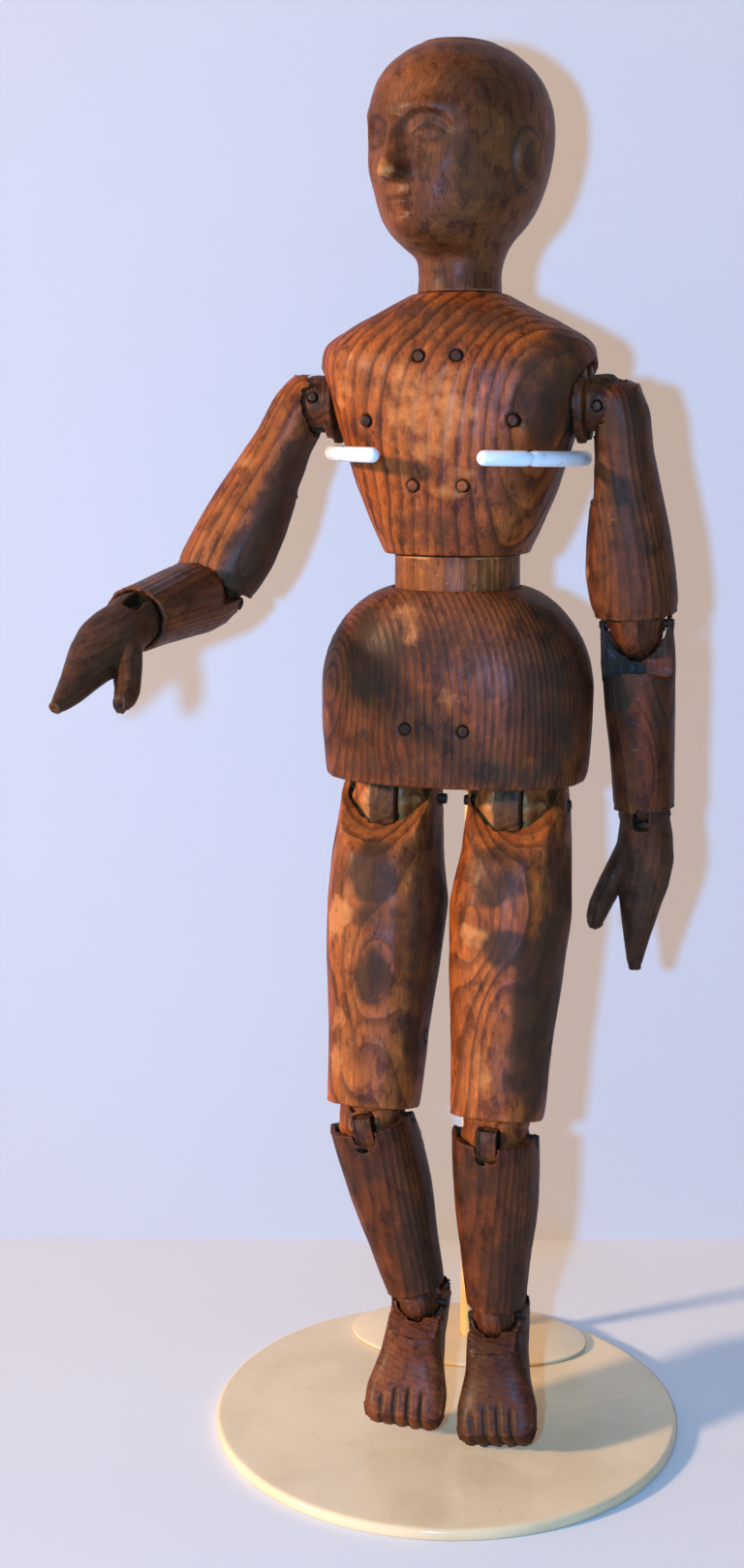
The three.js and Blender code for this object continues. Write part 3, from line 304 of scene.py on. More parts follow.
# growth rings, fibres, sooty stains with painted shade and shadow, worn edges and dents of old waxed pine;
# lengths in mm
def makeAgedPine():
    tree, given, out = newGroup("agedPine", [
        ("Grain At", "Vector"), ("Ring Way", "Float"), ("Spacing", "Float"), ("Bold", "Float"),
        ("Early", "Color"), ("Late", "Color"), ("Smoke And Shade", "Color"), ("Worn", "Color"),
        ("Patina", "Float"), ("Wear", "Float"),
    ], surfaceOutputs)
    at = given["Grain At"]
    wobble = fineNoise(tree, stretched(tree, at, (1, 1, 0.16)), 0.12)
    sway = maths(tree, "MULTIPLY", maths(tree, "SUBTRACT", wobble, 0.5), 1.7)
    turns = maths(tree, "DIVIDE", maths(tree, "ADD", given["Ring Way"], sway), given["Spacing"])
    phase = maths(tree, "FRACT", turns)
    chance = addNode(tree, "ShaderNodeTexWhiteNoise", noise_dimensions="1D")
    feed(tree, chance.inputs["W"], maths(tree, "FLOOR", turns))
    chance = chance.outputs["Value"]
    rise = between(tree, phase, maths(tree, "MULTIPLY", chance, 0.5), 0.9)
    fall = between(tree, phase, 0.91, 1.0, 1.0, 0.0)
    strength = maths(tree, "ADD", maths(tree, "MULTIPLY", chance, 0.5), 0.5)
    late = maths(tree, "MULTIPLY", maths(tree, "MULTIPLY", rise, fall), strength)
    fibre = fineNoise(tree, stretched(tree, at, (1, 1, 0.045)), 0.95, 4, 0.65)
    cloud = fineNoise(tree, at, 0.03, 5, 0.6)
    patch = fineNoise(tree, at, 0.085, 4, 0.6)
    speck = between(tree, fineNoise(tree, stretched(tree, at, (1, 1, 0.6)), 0.36, 2, 0.4), 0.68, 0.75)
    early = blendColour(tree, between(tree, fibre, 0.42, 0.74, 0.0, 0.45), given["Early"], given["Late"])
    wood = blendColour(tree, maths(tree, "MULTIPLY", late, given["Bold"]), early, given["Late"])
    dull = between(tree, cloud, 0.42, 0.66, 0.0, 0.9)
    wood = blendColour(tree, dull, wood, (0.56, 0.47, 0.42, 1), "MULTIPLY")
    blotch = fineNoise(tree, stretched(tree, at, (1, 1, 0.55)), 0.17, 6, 0.68)
    shade = between(tree, blotch, 0.5, 0.63, 0.0, 0.92)
    wood = blendColour(tree, shade, wood, (0.42, 0.34, 0.3, 1), "MULTIPLY")
    glow = between(tree, maths(tree, "SUBTRACT", 1.0, blotch), 0.54, 0.68, 0.0, 0.85)
    wood = blendColour(tree, glow, wood, (1.75, 1.7, 1.5, 1), "MULTIPLY")
    scratch = fineNoise(tree, stretched(tree, at, (0.3, 2.2, 1.6)), 0.9, 2, 0.4)
    scratch = between(tree, scratch, 0.7, 0.76)
    wood = blendColour(tree, maths(tree, "MULTIPLY", scratch, 0.3), wood, given["Worn"])
    drift = maths(tree, "SUBTRACT", patch, 0.5)
    # dark sooty patches, which also carry painted shade and a painted shadow
    stainShade = maths(tree, "ADD", given["Patina"], maths(tree, "MULTIPLY", drift, 0.9))
    stainShade = between(tree, stainShade, 0.22, 0.85)
    wood = blendColour(tree, maths(tree, "MULTIPLY", stainShade, 0.86), wood, given["Smoke And Shade"])
    rub = maths(tree, "ADD", given["Wear"], maths(tree, "MULTIPLY", drift, 1.1))
    rub = between(tree, rub, 0.42, 0.85)
    wood = blendColour(tree, maths(tree, "MULTIPLY", rub, 0.8), wood, given["Worn"])
    wood = blendColour(tree, maths(tree, "MULTIPLY", speck, 0.55), wood, given["Smoke And Shade"])
    tree.links.new(wood, out["Colour"])
    gloss = maths(tree, "ADD", 0.36, maths(tree, "MULTIPLY", fibre, 0.32))
    gloss = maths(tree, "ADD", gloss, maths(tree, "MULTIPLY", stainShade, 0.16))
    gloss = maths(tree, "SUBTRACT", gloss, maths(tree, "MULTIPLY", rub, 0.1))
    tree.links.new(gloss, out["Roughness"])
    height = maths(tree, "ADD", maths(tree, "MULTIPLY", late, 0.08), maths(tree, "MULTIPLY", fibre, 0.07))
    height = maths(tree, "SUBTRACT", height, maths(tree, "MULTIPLY", speck, 0.14))
    tree.links.new(height, out["Height"])
    return tree


# brushed enamel, vinyl or steel with handling marks; lengths in mm
def makeHandledCoat():
    tree, given, out = newGroup("handledCoat", [
        ("At", "Vector"), ("Paint", "Color"), ("Grime", "Color"), ("Marks", "Float"), ("Gloss", "Float"),
    ], surfaceOutputs)
    at = given["At"]
    cloud = fineNoise(tree, at, 0.021, 5, 0.6)
    scuff = fineNoise(tree, stretched(tree, at, (1, 0.12, 1)), 0.5, 3, 0.6)
    scuff = between(tree, scuff, 0.63, 0.72)
    chip = between(tree, fineNoise(tree, at, 0.16, 3, 0.5), 0.71, 0.74)
    orange = fineNoise(tree, at, 0.45, 2, 0.5)
    tone = blendColour(tree, between(tree, cloud, 0.38, 0.7, 0.0, 0.35), given["Paint"], given["Grime"])
    marks = maths(tree, "MAXIMUM", maths(tree, "MULTIPLY", scuff, 0.35), chip)
    marks = maths(tree, "MULTIPLY", marks, given["Marks"])
    tone = blendColour(tree, marks, tone, given["Grime"])
    tree.links.new(tone, out["Colour"])
    rough = maths(tree, "ADD", given["Gloss"], maths(tree, "MULTIPLY", marks, 0.3))
    tree.links.new(maths(tree, "ADD", rough, maths(tree, "MULTIPLY", cloud, 0.1)), out["Roughness"])
    tree.links.new(maths(tree, "SUBTRACT", maths(tree, "MULTIPLY", orange, 0.05),
                         maths(tree, "MULTIPLY", marks, 0.08)), out["Height"])
    return tree


agedPine = makeAgedPine()
handledCoat = makeHandledCoat()


varnish = {"specular": 0.17, "waxRough": 0.3, "coatRough": 0.12}


def newMaterial(name, group, wax, waxRough):
    material = bpy.data.materials.new(name)
    material.use_nodes = True
    tree = material.node_tree
    tree.nodes.clear()
    shader = tree.nodes.new("ShaderNodeBsdfPrincipled")
    bump = tree.nodes.new("ShaderNodeBump")
    bump.inputs["Distance"].default_value = mm
    made = addNode(tree, "ShaderNodeGroup", node_tree=group)
    tree.links.new(made.outputs["Colour"], shader.inputs["Base Color"])
    tree.links.new(made.outputs["Roughness"], shader.inputs["Roughness"])
    tree.links.new(made.outputs["Height"], bump.inputs["Height"])
    tree.links.new(bump.outputs["Normal"], shader.inputs["Normal"])
    shader.inputs["Coat Weight"].default_value = wax
    shader.inputs["Specular IOR Level"].default_value = varnish["specular"]
    shader.inputs["Coat Roughness"].default_value = waxRough
    tree.links.new(shader.outputs[0], tree.nodes.new("ShaderNodeOutputMaterial").inputs[0])
    return material, tree, made, shader


# brightness that all the woods share
woodTone = (1.82, 1.86, 1.72)


def woodMaterial(name, look):
    material, tree, made, shader = newMaterial(name, agedPine, look.get("wax", 0.05), varnish["waxRough"])
    for socket, attribute in (("Ring Way", "ringWay"), ("Patina", "patina"), ("Wear", "wear")):
        reader = addNode(tree, "ShaderNodeAttribute", attribute_name=attribute)
        tree.links.new(reader.outputs["Fac"], made.inputs[socket])
    reader = addNode(tree, "ShaderNodeAttribute", attribute_name="grainAt")
    tree.links.new(reader.outputs["Vector"], made.inputs["Grain At"])
    made.inputs["Spacing"].default_value = look["spacing"]
    made.inputs["Bold"].default_value = look.get("bold", 0.9)
    for socket in ("Early", "Late", "Smoke And Shade", "Worn"):
        shade = [min(1, c * t) for c, t in zip(look[socket.lower()], woodTone)]
        made.inputs[socket].default_value = (*shade, 1)
    return material


def coatMaterial(name, look):
    material, tree, made, shader = newMaterial(name, handledCoat, look["coat"], varnish["coatRough"])
    place = tree.nodes.new("ShaderNodeTexCoord")
    tree.links.new(stretched(tree, place.outputs["Object"], (1000, 1000, 1000)), made.inputs["At"])
    made.inputs["Paint"].default_value = (*look["paint"], 1)
    made.inputs["Grime"].default_value = (*look["grime"], 1)
    made.inputs["Marks"].default_value = look["marks"]
    made.inputs["Gloss"].default_value = look["gloss"]
    shader.inputs["Metallic"].default_value = look.get("metal", 0)
    return material


def settle(thing, material, *standsFor):
    # finish, stand-in and body of a made piece
    thing.data.materials.clear()
    thing.data.materials.append(material)
    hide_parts(*standsFor)
    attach(thing, bodyOf[standsFor[0]])


def ringWay(local, look):
    tilt = look.get("lean", (0, 0))
    across = local[:, 0] - look["pith"][0] - tilt[0] * (local[:, 2] - local[:, 2].mean())
    deep = local[:, 1] - look["pith"][1] - tilt[1] * (local[:, 2] - local[:, 2].mean())
    flow = local * (1, 1, 0.35)
    way = np.hypot(across, deep) + look["wander"] * softNoise(flow, 34, look["seed"])
    way += 0.3 * look["wander"] * softNoise(flow, 12, look["seed"] + 1)
    for centre, size, height in look.get("swells", []):
        reach = np.linalg.norm((local - centre) / size, axis=1)
        way += height * np.exp(-reach ** 2)
    return way


# dark patches from each look's list: real soiling, and in some looks painted shade and a painted shadow
def stainsAndShade(local, look):
    clear = np.full(len(local), 1 - look.get("smoky", 0.1))
    ragged = 0.22 * softNoise(local, 9, look["seed"] + 5) + 0.12 * softNoise(local, 4, look["seed"] + 6)
    for centre, size, strength in look.get("stainsAndShade", []):
        reach = np.linalg.norm((local - centre) / size, axis=1) + ragged
        clear *= 1 - strength * smoothStep(1.3, 0.6, reach)
    return 1 - clear


# rubbed places where the pale wood shows through
def paleSpots(local, look):
    mask = np.zeros(len(local))
    ragged = 0.3 * softNoise(local, 8, look["seed"] + 7) + 0.2 * softNoise(local, 3.5, look["seed"] + 8)
    for centre, size, strength in look.get("pale", []):
        reach = np.linalg.norm((local - centre) / size, axis=1) + ragged
        mask = np.maximum(mask, strength * smoothStep(1.3, 0.4, reach))
    return mask


pegNodes = sorted(name for name in nodes if name.endswith("_peg") or name.endswith("_pin"))
pegEnds = KDTree(2 * len(pegNodes))
for i, name in enumerate(pegNodes):
    ends = meshPoints(nodes[name].data)
    lengthwise = np.linalg.svd(ends - ends.mean(0), full_matrices=False)[2][0]
    reach = (ends - ends.mean(0)) @ lengthwise
    pegEnds.insert(ends[reach > reach.max() - 0.3].mean(0), 2 * i)
    pegEnds.insert(ends[reach < reach.min() + 0.3].mean(0), 2 * i + 1)
pegEnds.balance()


def rounded(local, radius):
    # move that brings a turned drum true to its radius
    reach = np.hypot(local[:, 0], local[:, 1])
    grow = np.where(reach > radius - 1.6, radius / reach, 1)
    return local * np.stack([grow, grow, grow * 0 + 1], 1) - local


def instepSlope(local, upward, rise, back):
    # slope from the ankle's collar down to the toes
    ahead = smoothStep(-30, -15, local[:, 1]) * (local[:, 1] < -9)
    move = np.zeros_like(local)
    move[:, 2] = rise * smoothStep(0.2, 0.6, upward) * ahead * smoothStep(17, 11, np.abs(local[:, 0]))
    move[:, 1] = back * smoothStep(3, 8, local[:, 2]) * smoothStep(-8, -12, local[:, 1])
    return move


def jointLift(local, facing, look):
    # outward growth in mm of a joint's ball, a thumb's palm side and a tongue's rim
    lift = np.full(len(local), -float(look.get("slack", 0)))
    if "ball" in look:
        centre, radius, grow = look["ball"]
        off = np.abs(np.linalg.norm(local - centre, axis=1) - radius)
        lift += grow * smoothStep(1.2, 0.5, off)
    if "thumb" in look:
        side = np.sign(local[np.argmax(np.abs(local[:, 0])), 0])
        lift += look["thumb"] * smoothStep(9, 17, side * local[:, 0]) * smoothStep(0.5, -0.3, side * facing)
    if "flush" in look:
        lift -= look["flush"] * (1 - np.abs(facing)) ** 2
    return lift


def woodPiece(node, place, look):
    thing, away = carvedCopy(node, look["voxel"], look["soften"], look["keep"])
    mesh = thing.data
    seed = look["seed"]
    points = meshPoints(mesh)
    local = toLocal(points, place)
    axes = np.array(place)[:3, :3]
    way = ringWay(local, look)
    phase = np.mod(way / look["spacing"], 1)
    ridge = smoothStep(0.4, 0.9, phase) * smoothStep(1.0, 0.92, phase)
    knife = softNoise(local, 15, seed + 2) + 0.5 * softNoise(local * (1, 1, 0.5), 6, seed + 3)
    if "round" in look:
        points = points + rounded(local, look["round"]) @ axes.T
        setPoints(mesh, points)
    normals = meshNormals(mesh)
    lift = (look["ridge"] * ridge + look["carve"] * (knife - 0.6)) * smoothStep(0.2, 3, away)
    lift = lift + jointLift(local, normals @ axes[:, 0], look)
    if "instep" in look:
        points = points + instepSlope(local, normals @ axes[:, 2], *look["instep"]) @ axes.T
    groove = look["grooves"](local) if "grooves" in look else np.zeros(len(points))
    setPoints(mesh, points + normals * (lift - groove)[:, None])
    toPeg = np.array([pegEnds.find(point)[2] for point in points])
    edge = smoothStep(4, 7, toPeg) * smoothStep(2.6, 0.3, away)
    edge = edge * (0.55 + 0.45 * softNoise(local, 8, seed + 4))
    dark = stainsAndShade(local, look) + 0.8 * np.clip(groove, 0, 1) + 0.55 * smoothStep(5, 2.4, toPeg)
    storeVector(mesh, "grainAt", local)
    storeValue(mesh, "ringWay", way)
    storeValue(mesh, "patina", np.clip(dark, 0, 1))
    storeValue(mesh, "wear", np.clip(edge * look["edgeWear"] + paleSpots(local, look), 0, 1))
    shadeSmooth(mesh)
    settle(thing, woodMaterial(node + "Pine", look), node)


print("torso")
# near-black soot tone, also the colour of the painted shade and shadow
sootAndShadeColour = (0.019, 0.0088, 0.0048)
chestLook = {
    "early": (0.1844, 0.0428, 0.0079), "late": (0.038, 0.0083, 0.0028),
    "smoke and shade": sootAndShadeColour, "worn": (0.3141, 0.1096, 0.0294),
    "spacing": 5.0, "bold": 1.0, "pith": (-95, 75), "lean": (0.22, 0), "wander": 2.6, "seed": 11,
    "voxel": 1.05, "soften": 26, "keep": 4, "ridge": 0.22, "carve": 0.25, "smoky": 0.08, "edgeWear": 0.55,
    "pale": [((-4, -38, 452), (27, 30, 30), 0.6), ((-44, -30, 466), (12, 20, 12), 0.6),
             ((8, -36, 425), (16, 20, 10), 0.5)],
    "swells": [((38, -36, 452), (18, 40, 30), 9), ((-22, -38, 418), (14, 40, 22), -4)],
    # the second dark patch is painted shade down the chest's right side
    "stainsAndShade": [((50, -26, 460), (20, 34, 26), 0.72), ((54, -20, 420), (18, 34, 28), 0.35),
               ((2, -38, 489), (44, 44, 11), 0.55), ((-8, -36, 404), (30, 30, 9), 0.45),
               ((24, -38, 424), (12, 30, 14), 0.4)],
}
waistLook = {
    "early": (0.134, 0.0388, 0.0103), "late": (0.034, 0.0102, 0.0037),
    "smoke and shade": sootAndShadeColour, "worn": (0.310, 0.1330, 0.0468),
    "spacing": 2.4, "bold": 0.7, "pith": (20, 60), "wander": 1.6, "seed": 17, "round": 27.1,
    "voxel": 0.8, "soften": 16, "keep": 3, "ridge": 0.12, "carve": 0.15, "smoky": 0.2, "edgeWear": 0.9,
}
pelvisLook = {
    "early": (0.088, 0.0218, 0.0051), "late": (0.020, 0.0051, 0.0022),
    "smoke and shade": sootAndShadeColour, "worn": (0.241, 0.0840, 0.0260),
    "spacing": 2.3, "bold": 0.85, "pith": (95, 75), "lean": (-0.05, 0), "wander": 2.2, "seed": 23,
    "voxel": 1.05, "soften": 26, "keep": 4, "ridge": 0.18, "carve": 0.25, "smoky": 0.16, "edgeWear": 0.45,
    "pale": [((-16, -38, 366), (13, 22, 12), 0.6), ((-54, -22, 322), (6, 16, 9), 0.65),
             ((8, -38, 330), (16, 20, 12), 0.4)],
    "swells": [((-47, -30, 345), (15, 40, 30), 7), ((-20, -38, 318), (10, 40, 18), -3)],
    # the first dark patch is a painted shadow of the right forearm; the last is a nail hole
    "stainsAndShade": [((-30, -36, 352), (15, 30, 20), 0.7), ((48, -22, 340), (20, 34, 44), 0.5),
               ((0, -36, 303), (60, 40, 6), 0.4), ((10, -38, 356), (22, 30, 12), 0.4),
               ((-31.7, -36, 318), (2.2, 16, 2.2), 1)],
}
for node, look in (("chest", chestLook), ("waist_drum", waistLook), ("pelvis", pelvisLook)):
    woodPiece(node, figureFrame, look)

print("arms and legs")
# each cut's place across the foot, its length and its depth
toeLines = ((-9.6, 13, 0.9), (-3.6, 15.5, 1.1), (2.6, 16.5, 1.2), (8.6, 15, 1.1))


# four cuts between the toes of one foot, in the foot's own lay
def toeCuts(local):
    tip = local[:, 1].min()
    cut = np.zeros(len(local))
    for place, length, depth in toeLines:
        front = smoothStep(tip + length, tip + length - 6, local[:, 1])
        cut += front * depth * bell(local[:, 0] + 0.06 * (local[:, 1] - tip), place, 1.1)
    return cut


limbBase = {
    "early": (0.081, 0.0207, 0.0051), "late": (0.020, 0.0051, 0.0022),
    "smoke and shade": sootAndShadeColour, "worn": (0.258, 0.0945, 0.0286),
    "spacing": 2.5, "bold": 0.8, "pith": (14, 30), "wander": 2.2, "seed": 31, "voxel": 0.8, "soften": 22,
    "keep": 3.4, "ridge": 0.14, "carve": 0.22, "smoky": 0.14, "edgeWear": 0.6,
}
# what each limb piece has of its own, and then what one side's piece has
limbLooks = {
    "shoulder_block": {"seed": 37, "smoky": 0.35, "voxel": 0.75},
    "upper_arm": {"keep": 1.8, "soften": 40},
    "left_upper_arm": {
        "seed": 41, "ball": ((elbowOut, 0, -upperLength), 13, 1.0), "pith": (34, 26),
        "early": (0.064, 0.0168, 0.0048), "pale": [((-12, -12, -58), (5, 14, 36), 0.55)],
        "swells": [((-5, -16, -52), (6, 26, 38), 6)],
        "stainsAndShade": [((6, -8, -6), (14, 20, 10), 0.6), ((12, -8, -50), (9, 20, 60), 0.5)],
    },
    "right_upper_arm": {
        "seed": 43, "ball": ((-elbowOut, 0, -upperLength), 13, 1.0), "pith": (-30, 24),
        "early": (0.176, 0.0440, 0.0084), "late": (0.050, 0.0116, 0.0034),
        "pale": [((-12, -6, -46), (8, 14, 38), 0.6)],
        # the first dark patch is painted shade along the arm's right side, towards the chest
        "stainsAndShade": [((14, -8, -40), (16, 32, 110), 0.92), ((5, -14, -82), (11, 16, 18), 0.6)],
    },
    "forearm": {"keep": 1.8, "soften": 40, "ball": ((0, 0, -forearmLength), 12, 0.5)},
    "left_forearm": {
        "seed": 47, "pith": (-26, 24), "early": (0.056, 0.0125, 0.003),
        "swells": [((4, -15, -58), (6.5, 22, 24), -7)],
        "stainsAndShade": [((-6, -13, -22), (11, 18, 14), 0.9), ((10, -12, -30), (5, 12, 22), 0.5)],
    },
    "right_forearm": {
        "seed": 53, "pith": (22, -26), "smoky": 0.2, "early": (0.086, 0.0215, 0.0055),
        "stainsAndShade": [((0, 12, -30), (16, 14, 30), 0.5)],
    },
    "hand": {
        "seed": 59, "thumb": 2.4, "voxel": 0.65, "soften": 40, "keep": 2.4, "ridge": 0.06,
        "spacing": 2.1, "bold": 0.6, "smoky": 0.42,
        "early": (0.053, 0.0166, 0.0058), "late": (0.017, 0.0060, 0.0028), "worn": (0.138, 0.0525, 0.0182),
    },
    "hip_block": {
        "seed": 61, "ball": ((0, 0, 0), 19.5, 1.0), "voxel": 0.75, "spacing": 2.9, "pith": (4, -4),
        # the bright early tone is painted light, lifting the ball where the pelvis shades it
        "smoky": 0.2, "early": (0.22, 0.056, 0.011), "pale": [((0, -20, -4), (26, 14, 20), 0.8)],
    },
    "hip_tongue": {
        "seed": 67, "voxel": 0.7, "keep": 2.6, "spacing": 1.8, "bold": 0.6, "smoky": 0.25,
        "early": (0.063, 0.0238, 0.0071), "late": (0.028, 0.0102, 0.0037),
    },
    "thigh": {"ball": ((0, 0, -thighLength), 15.6, 0.9), "voxel": 0.85},
    "left_thigh": {
        "seed": 71, "spacing": 3.4, "pith": (8, -2), "wander": 3.2,
        "early": (0.169, 0.0404, 0.0074), "late": (0.034, 0.0079, 0.0028),
        "pale": [((-9, -25, -60), (9, 16, 9), 0.75), ((-12, -24, -30), (8, 16, 12), 0.6),
                 ((-3, -25, -118), (8, 14, 16), 0.6)],
        "swells": [((-8, -27, -56), (14, 30, 20), 8), ((2, -27, -102), (10, 30, 42), -6)],
        # the last two dark patches are painted shade down the thigh's right side
        "stainsAndShade": [((0, -26, -32), (15, 16, 16), 0.7), ((6, -26, -63), (14, 14, 9), 0.85),
                   ((19, -18, -100), (13, 26, 46), 0.8), ((24, -4, -50), (10, 26, 50), 0.6)],
    },
    "right_thigh": {
        "seed": 73, "spacing": 3.2, "pith": (-6, -2), "wander": 3,
        "early": (0.162, 0.0414, 0.0084), "late": (0.034, 0.0083, 0.0031),
        "pale": [((-16, -22, -56), (9, 16, 16), 0.75), ((12, -24, -36), (7, 14, 14), 0.5),
                 ((-14, -20, -112), (6, 14, 20), 0.6)],
        "swells": [((1, -27, -80), (11, 30, 23), 10), ((-6, -27, -118), (9, 30, 20), 4)],
        # the last dark patch is painted shade down the thigh's right side
        "stainsAndShade": [((1, -27, -79), (9, 16, 16), 0.85), ((0, -26, -34), (12, 15, 15), 0.9),
                   ((4, -26, -54), (14, 12, 7), 0.5), ((23, -8, -66), (9, 28, 66), 0.6)],
    },
    "knee_tongue": {
        "seed": 79, "slack": 0.2, "flush": 1.2, "voxel": 0.7, "keep": 2.6, "early": (0.07, 0.022, 0.007),
        "spacing": 2, "bold": 0.6, "smoky": 0.3,
    },
    "shin": {
        "seed": 83, "ball": ((0, 0, -shinLength), 9.6, 1.2), "keep": 2.4, "early": (0.062, 0.0150, 0.0038),
        "spacing": 2.2, "smoky": 0.22, "pith": (18, 26),
        "stainsAndShade": [((10, -10, -60), (14, 24, 30), 0.45), ((-6, -18, -14), (14, 16, 10), 0.4)],
    },
    "foot": {
        "seed": 89, "grooves": toeCuts, "instep": (2.8, 1.8), "voxel": 0.6, "soften": 50, "keep": 1.1,
        "ridge": 0.0, "spacing": 2.6, "bold": 0.4, "smoky": 0.2,
        "early": (0.092, 0.0223, 0.0055), "late": (0.028, 0.0069, 0.0025),
    },
    "left_foot": {
        # darker tones than the right foot: painted shade for the shadow the foot stands in
        "early": (0.038, 0.0094, 0.0025), "late": (0.014, 0.0036, 0.0014), "worn": (0.15, 0.055, 0.017),
    },
}
limbPlaces = {
    "shoulder_block": "shoulder", "upper_arm": "upper", "forearm": "forearm", "hand": "hand",
    "hip_block": "hip", "hip_tongue": "thigh", "thigh": "thigh",
    "knee_tongue": "shin", "shin": "shin", "foot": "foot",
}
for side in ("left", "right"):
    for piece, place in limbPlaces.items():
        node = side + "_" + piece
        look = {**limbBase, **limbLooks.get(piece, {}), **limbLooks.get(node, {})}
        woodPiece(node, frames[side][place], look)


def skinRings(name, rings, closed=False):
    # one closed body through rings of points, in mm
    count = len(rings[0])
    points = np.concatenate(rings)
    faces = []
    last = len(rings) if closed else len(rings) - 1
    for i in range(last):
        for k in range(count):
            a, b = i * count + k, i * count + (k + 1) % count
            c, d = (i + 1) % len(rings) * count + (k + 1) % count, (i + 1) % len(rings) * count + k
            faces.append((a, b, c, d))
    if not closed:
        faces += [tuple(range(count)), tuple(range(len(points) - 1, len(points) - 1 - count, -1))]
    mesh = bpy.data.meshes.new(name)
    mesh.from_pydata((points * mm).tolist(), [], faces)
    work = bmesh.new()
    work.from_mesh(mesh)
    bmesh.ops.recalc_face_normals(work, faces=work.faces)
    work.to_mesh(mesh)
    work.free()
    return newObject(name, mesh)


def circleRing(radiusX, radiusY, centre, z, sides):
    turns = np.arange(sides) / sides * 2 * math.pi
    across, deep = centre[0] + radiusX * np.cos(turns), centre[1] + radiusY * np.sin(turns)
    return np.stack([across, deep, np.full(sides, z)], 1)


print("pegs")
pegLook = {
    "early": (0.035, 0.0109, 0.0035), "late": (0.014, 0.0051, 0.0025), "smoke and shade": (0.011, 0.006, 0.004),
    "worn": (0.103, 0.0420, 0.0156), "spacing": 0.9, "bold": 0.7, "wax": 0.1, "proud": 0.02, "sides": 20,
    "trim": 0.985, "rim": [(0.12, 0.02), (0.5, 0.04), (0.82, 0.12), (0.95, 0.3), (1, 0.65)],
}
pegMaterial = woodMaterial("pegWood", pegLook)
paleLook = {**pegLook, "early": (0.16, 0.04, 0.008), "late": (0.06, 0.015, 0.004),
            "smoke and shade": (0.07, 0.02, 0.006)}
palePegMaterial = woodMaterial("palePegWood", paleLook)


def pegPiece(node, seed):
    points = meshPoints(nodes[node].data)
    centre = (points.max(0) + points.min(0)) / 2
    spread = points - points.mean(0)
    axis = np.linalg.svd(spread, full_matrices=False)[2][0]
    side = np.cross(axis, (0, 0, 1) if abs(axis[2]) < 0.9 else (1, 0, 0))
    side /= np.linalg.norm(side)
    other = np.cross(axis, side)
    along = (points - centre) @ axis
    half = (along.max() - along.min()) / 2 + pegLook["proud"]
    centre = centre + axis * (along.max() + along.min()) / 2
    radius = np.hypot((points - centre) @ side, (points - centre) @ other).max() * pegLook["trim"]
    places = [(r, -half + d) for r, d in pegLook["rim"]]
    places += [(1, z) for z in np.linspace(-half + 1.2, half - 1.2, 9)]
    places += [(r, half - d) for r, d in reversed(pegLook["rim"])]
    rings, flats = [], []
    for reach, z in places:
        flat = circleRing(reach * radius, reach * radius, (0, 0), z, pegLook["sides"])
        cut = 0.12 * softNoise(flat * 3, 3, seed)
        flat[:, 2] += np.where(reach < 1, cut, 0)
        flats.append(flat)
        rings.append(centre + flat[:, :1] * side + flat[:, 1:2] * other + flat[:, 2:] * axis)
    thing = skinRings(node + "_turned", rings)
    local = np.concatenate(flats)
    end = smoothStep(half - 1.4, half - 0.3, np.abs(local[:, 2]))
    storeVector(thing.data, "grainAt", local + 20 * seed)
    storeValue(thing.data, "ringWay", np.hypot(local[:, 0] + 0.8, local[:, 1] - 0.5))
    storeValue(thing.data, "patina", 0.45 + 0.3 * softNoise(local, 2, seed) * end)
    storeValue(thing.data, "wear", end * 0.25 * (np.hypot(local[:, 0], local[:, 1]) > radius * 0.8))
    shadeSmooth(thing.data, 50)
    settle(thing, palePegMaterial if "waist" in node else pegMaterial, node)


for i, node in enumerate(pegNodes):
    pegPiece(node, 101 + i)

print("head")
headLook = {
    "early": (0.098, 0.0280, 0.0077), "late": (0.028, 0.0083, 0.0031),
    "smoke and shade": (0.022, 0.012, 0.0075), "worn": (0.310, 0.1190, 0.0338),
    "spacing": 1.7, "bold": 0.25, "pith": (-160, 60), "wander": 2.0, "seed": 131, "smoky": 0.14, "wax": 0.06,
    "rows": 230, "sides": 300, "halfWidth": 35.8, "faceDepth": 42.5, "napeDepth": 45, "tall": 102.3,
    "crownRows": 16, "crownRise": 2.6, "crownSkip": 6, "gather": 0.35, "jaw": (14, 20),
    # the first dark patch is painted shade over the right half of the face
    "stainsAndShade": [((26, -18, 62), (22, 30, 40), 0.36), ((-30, 10, 60), (16, 30, 36), 0.35),
               ((0, -30, 94), (26, 24, 7), 0.3), ((4, -18, 8), (20, 20, 8), 0.3)],
    # height, then shares of the half width, the face's depth and the nape's depth
    "profile": [
        (0, 0.497, 0.412, 0.4), (8, 0.486, 0.412, 0.411), (14.5, 0.517, 0.47, 0.456), (18.5, 0.56, 0.68, 0.5),
        (22, 0.63, 0.81, 0.556), (27, 0.74, 0.89, 0.667), (34, 0.845, 0.93, 0.79), (41, 0.905, 0.95, 0.875),
        (48, 0.95, 0.972, 0.935), (56, 0.983, 0.988, 0.978), (63, 0.998, 0.996, 0.998),
        (70, 0.988, 0.994, 0.993), (78, 0.948, 0.964, 0.954), (86, 0.85, 0.885, 0.856),
        (93, 0.68, 0.725, 0.695), (98.5, 0.45, 0.484, 0.467), (101.5, 0.212, 0.232, 0.218),
        (102.3, 0.02, 0.02, 0.02),
    ],
    # height and radius
    "dowel": [(-36, 9), (-35, 10), (-29.8, 10), (-29.8, 5.4), (-24.6, 5.4), (-24.6, 10), (-0.2, 10), (0, 14)],
}


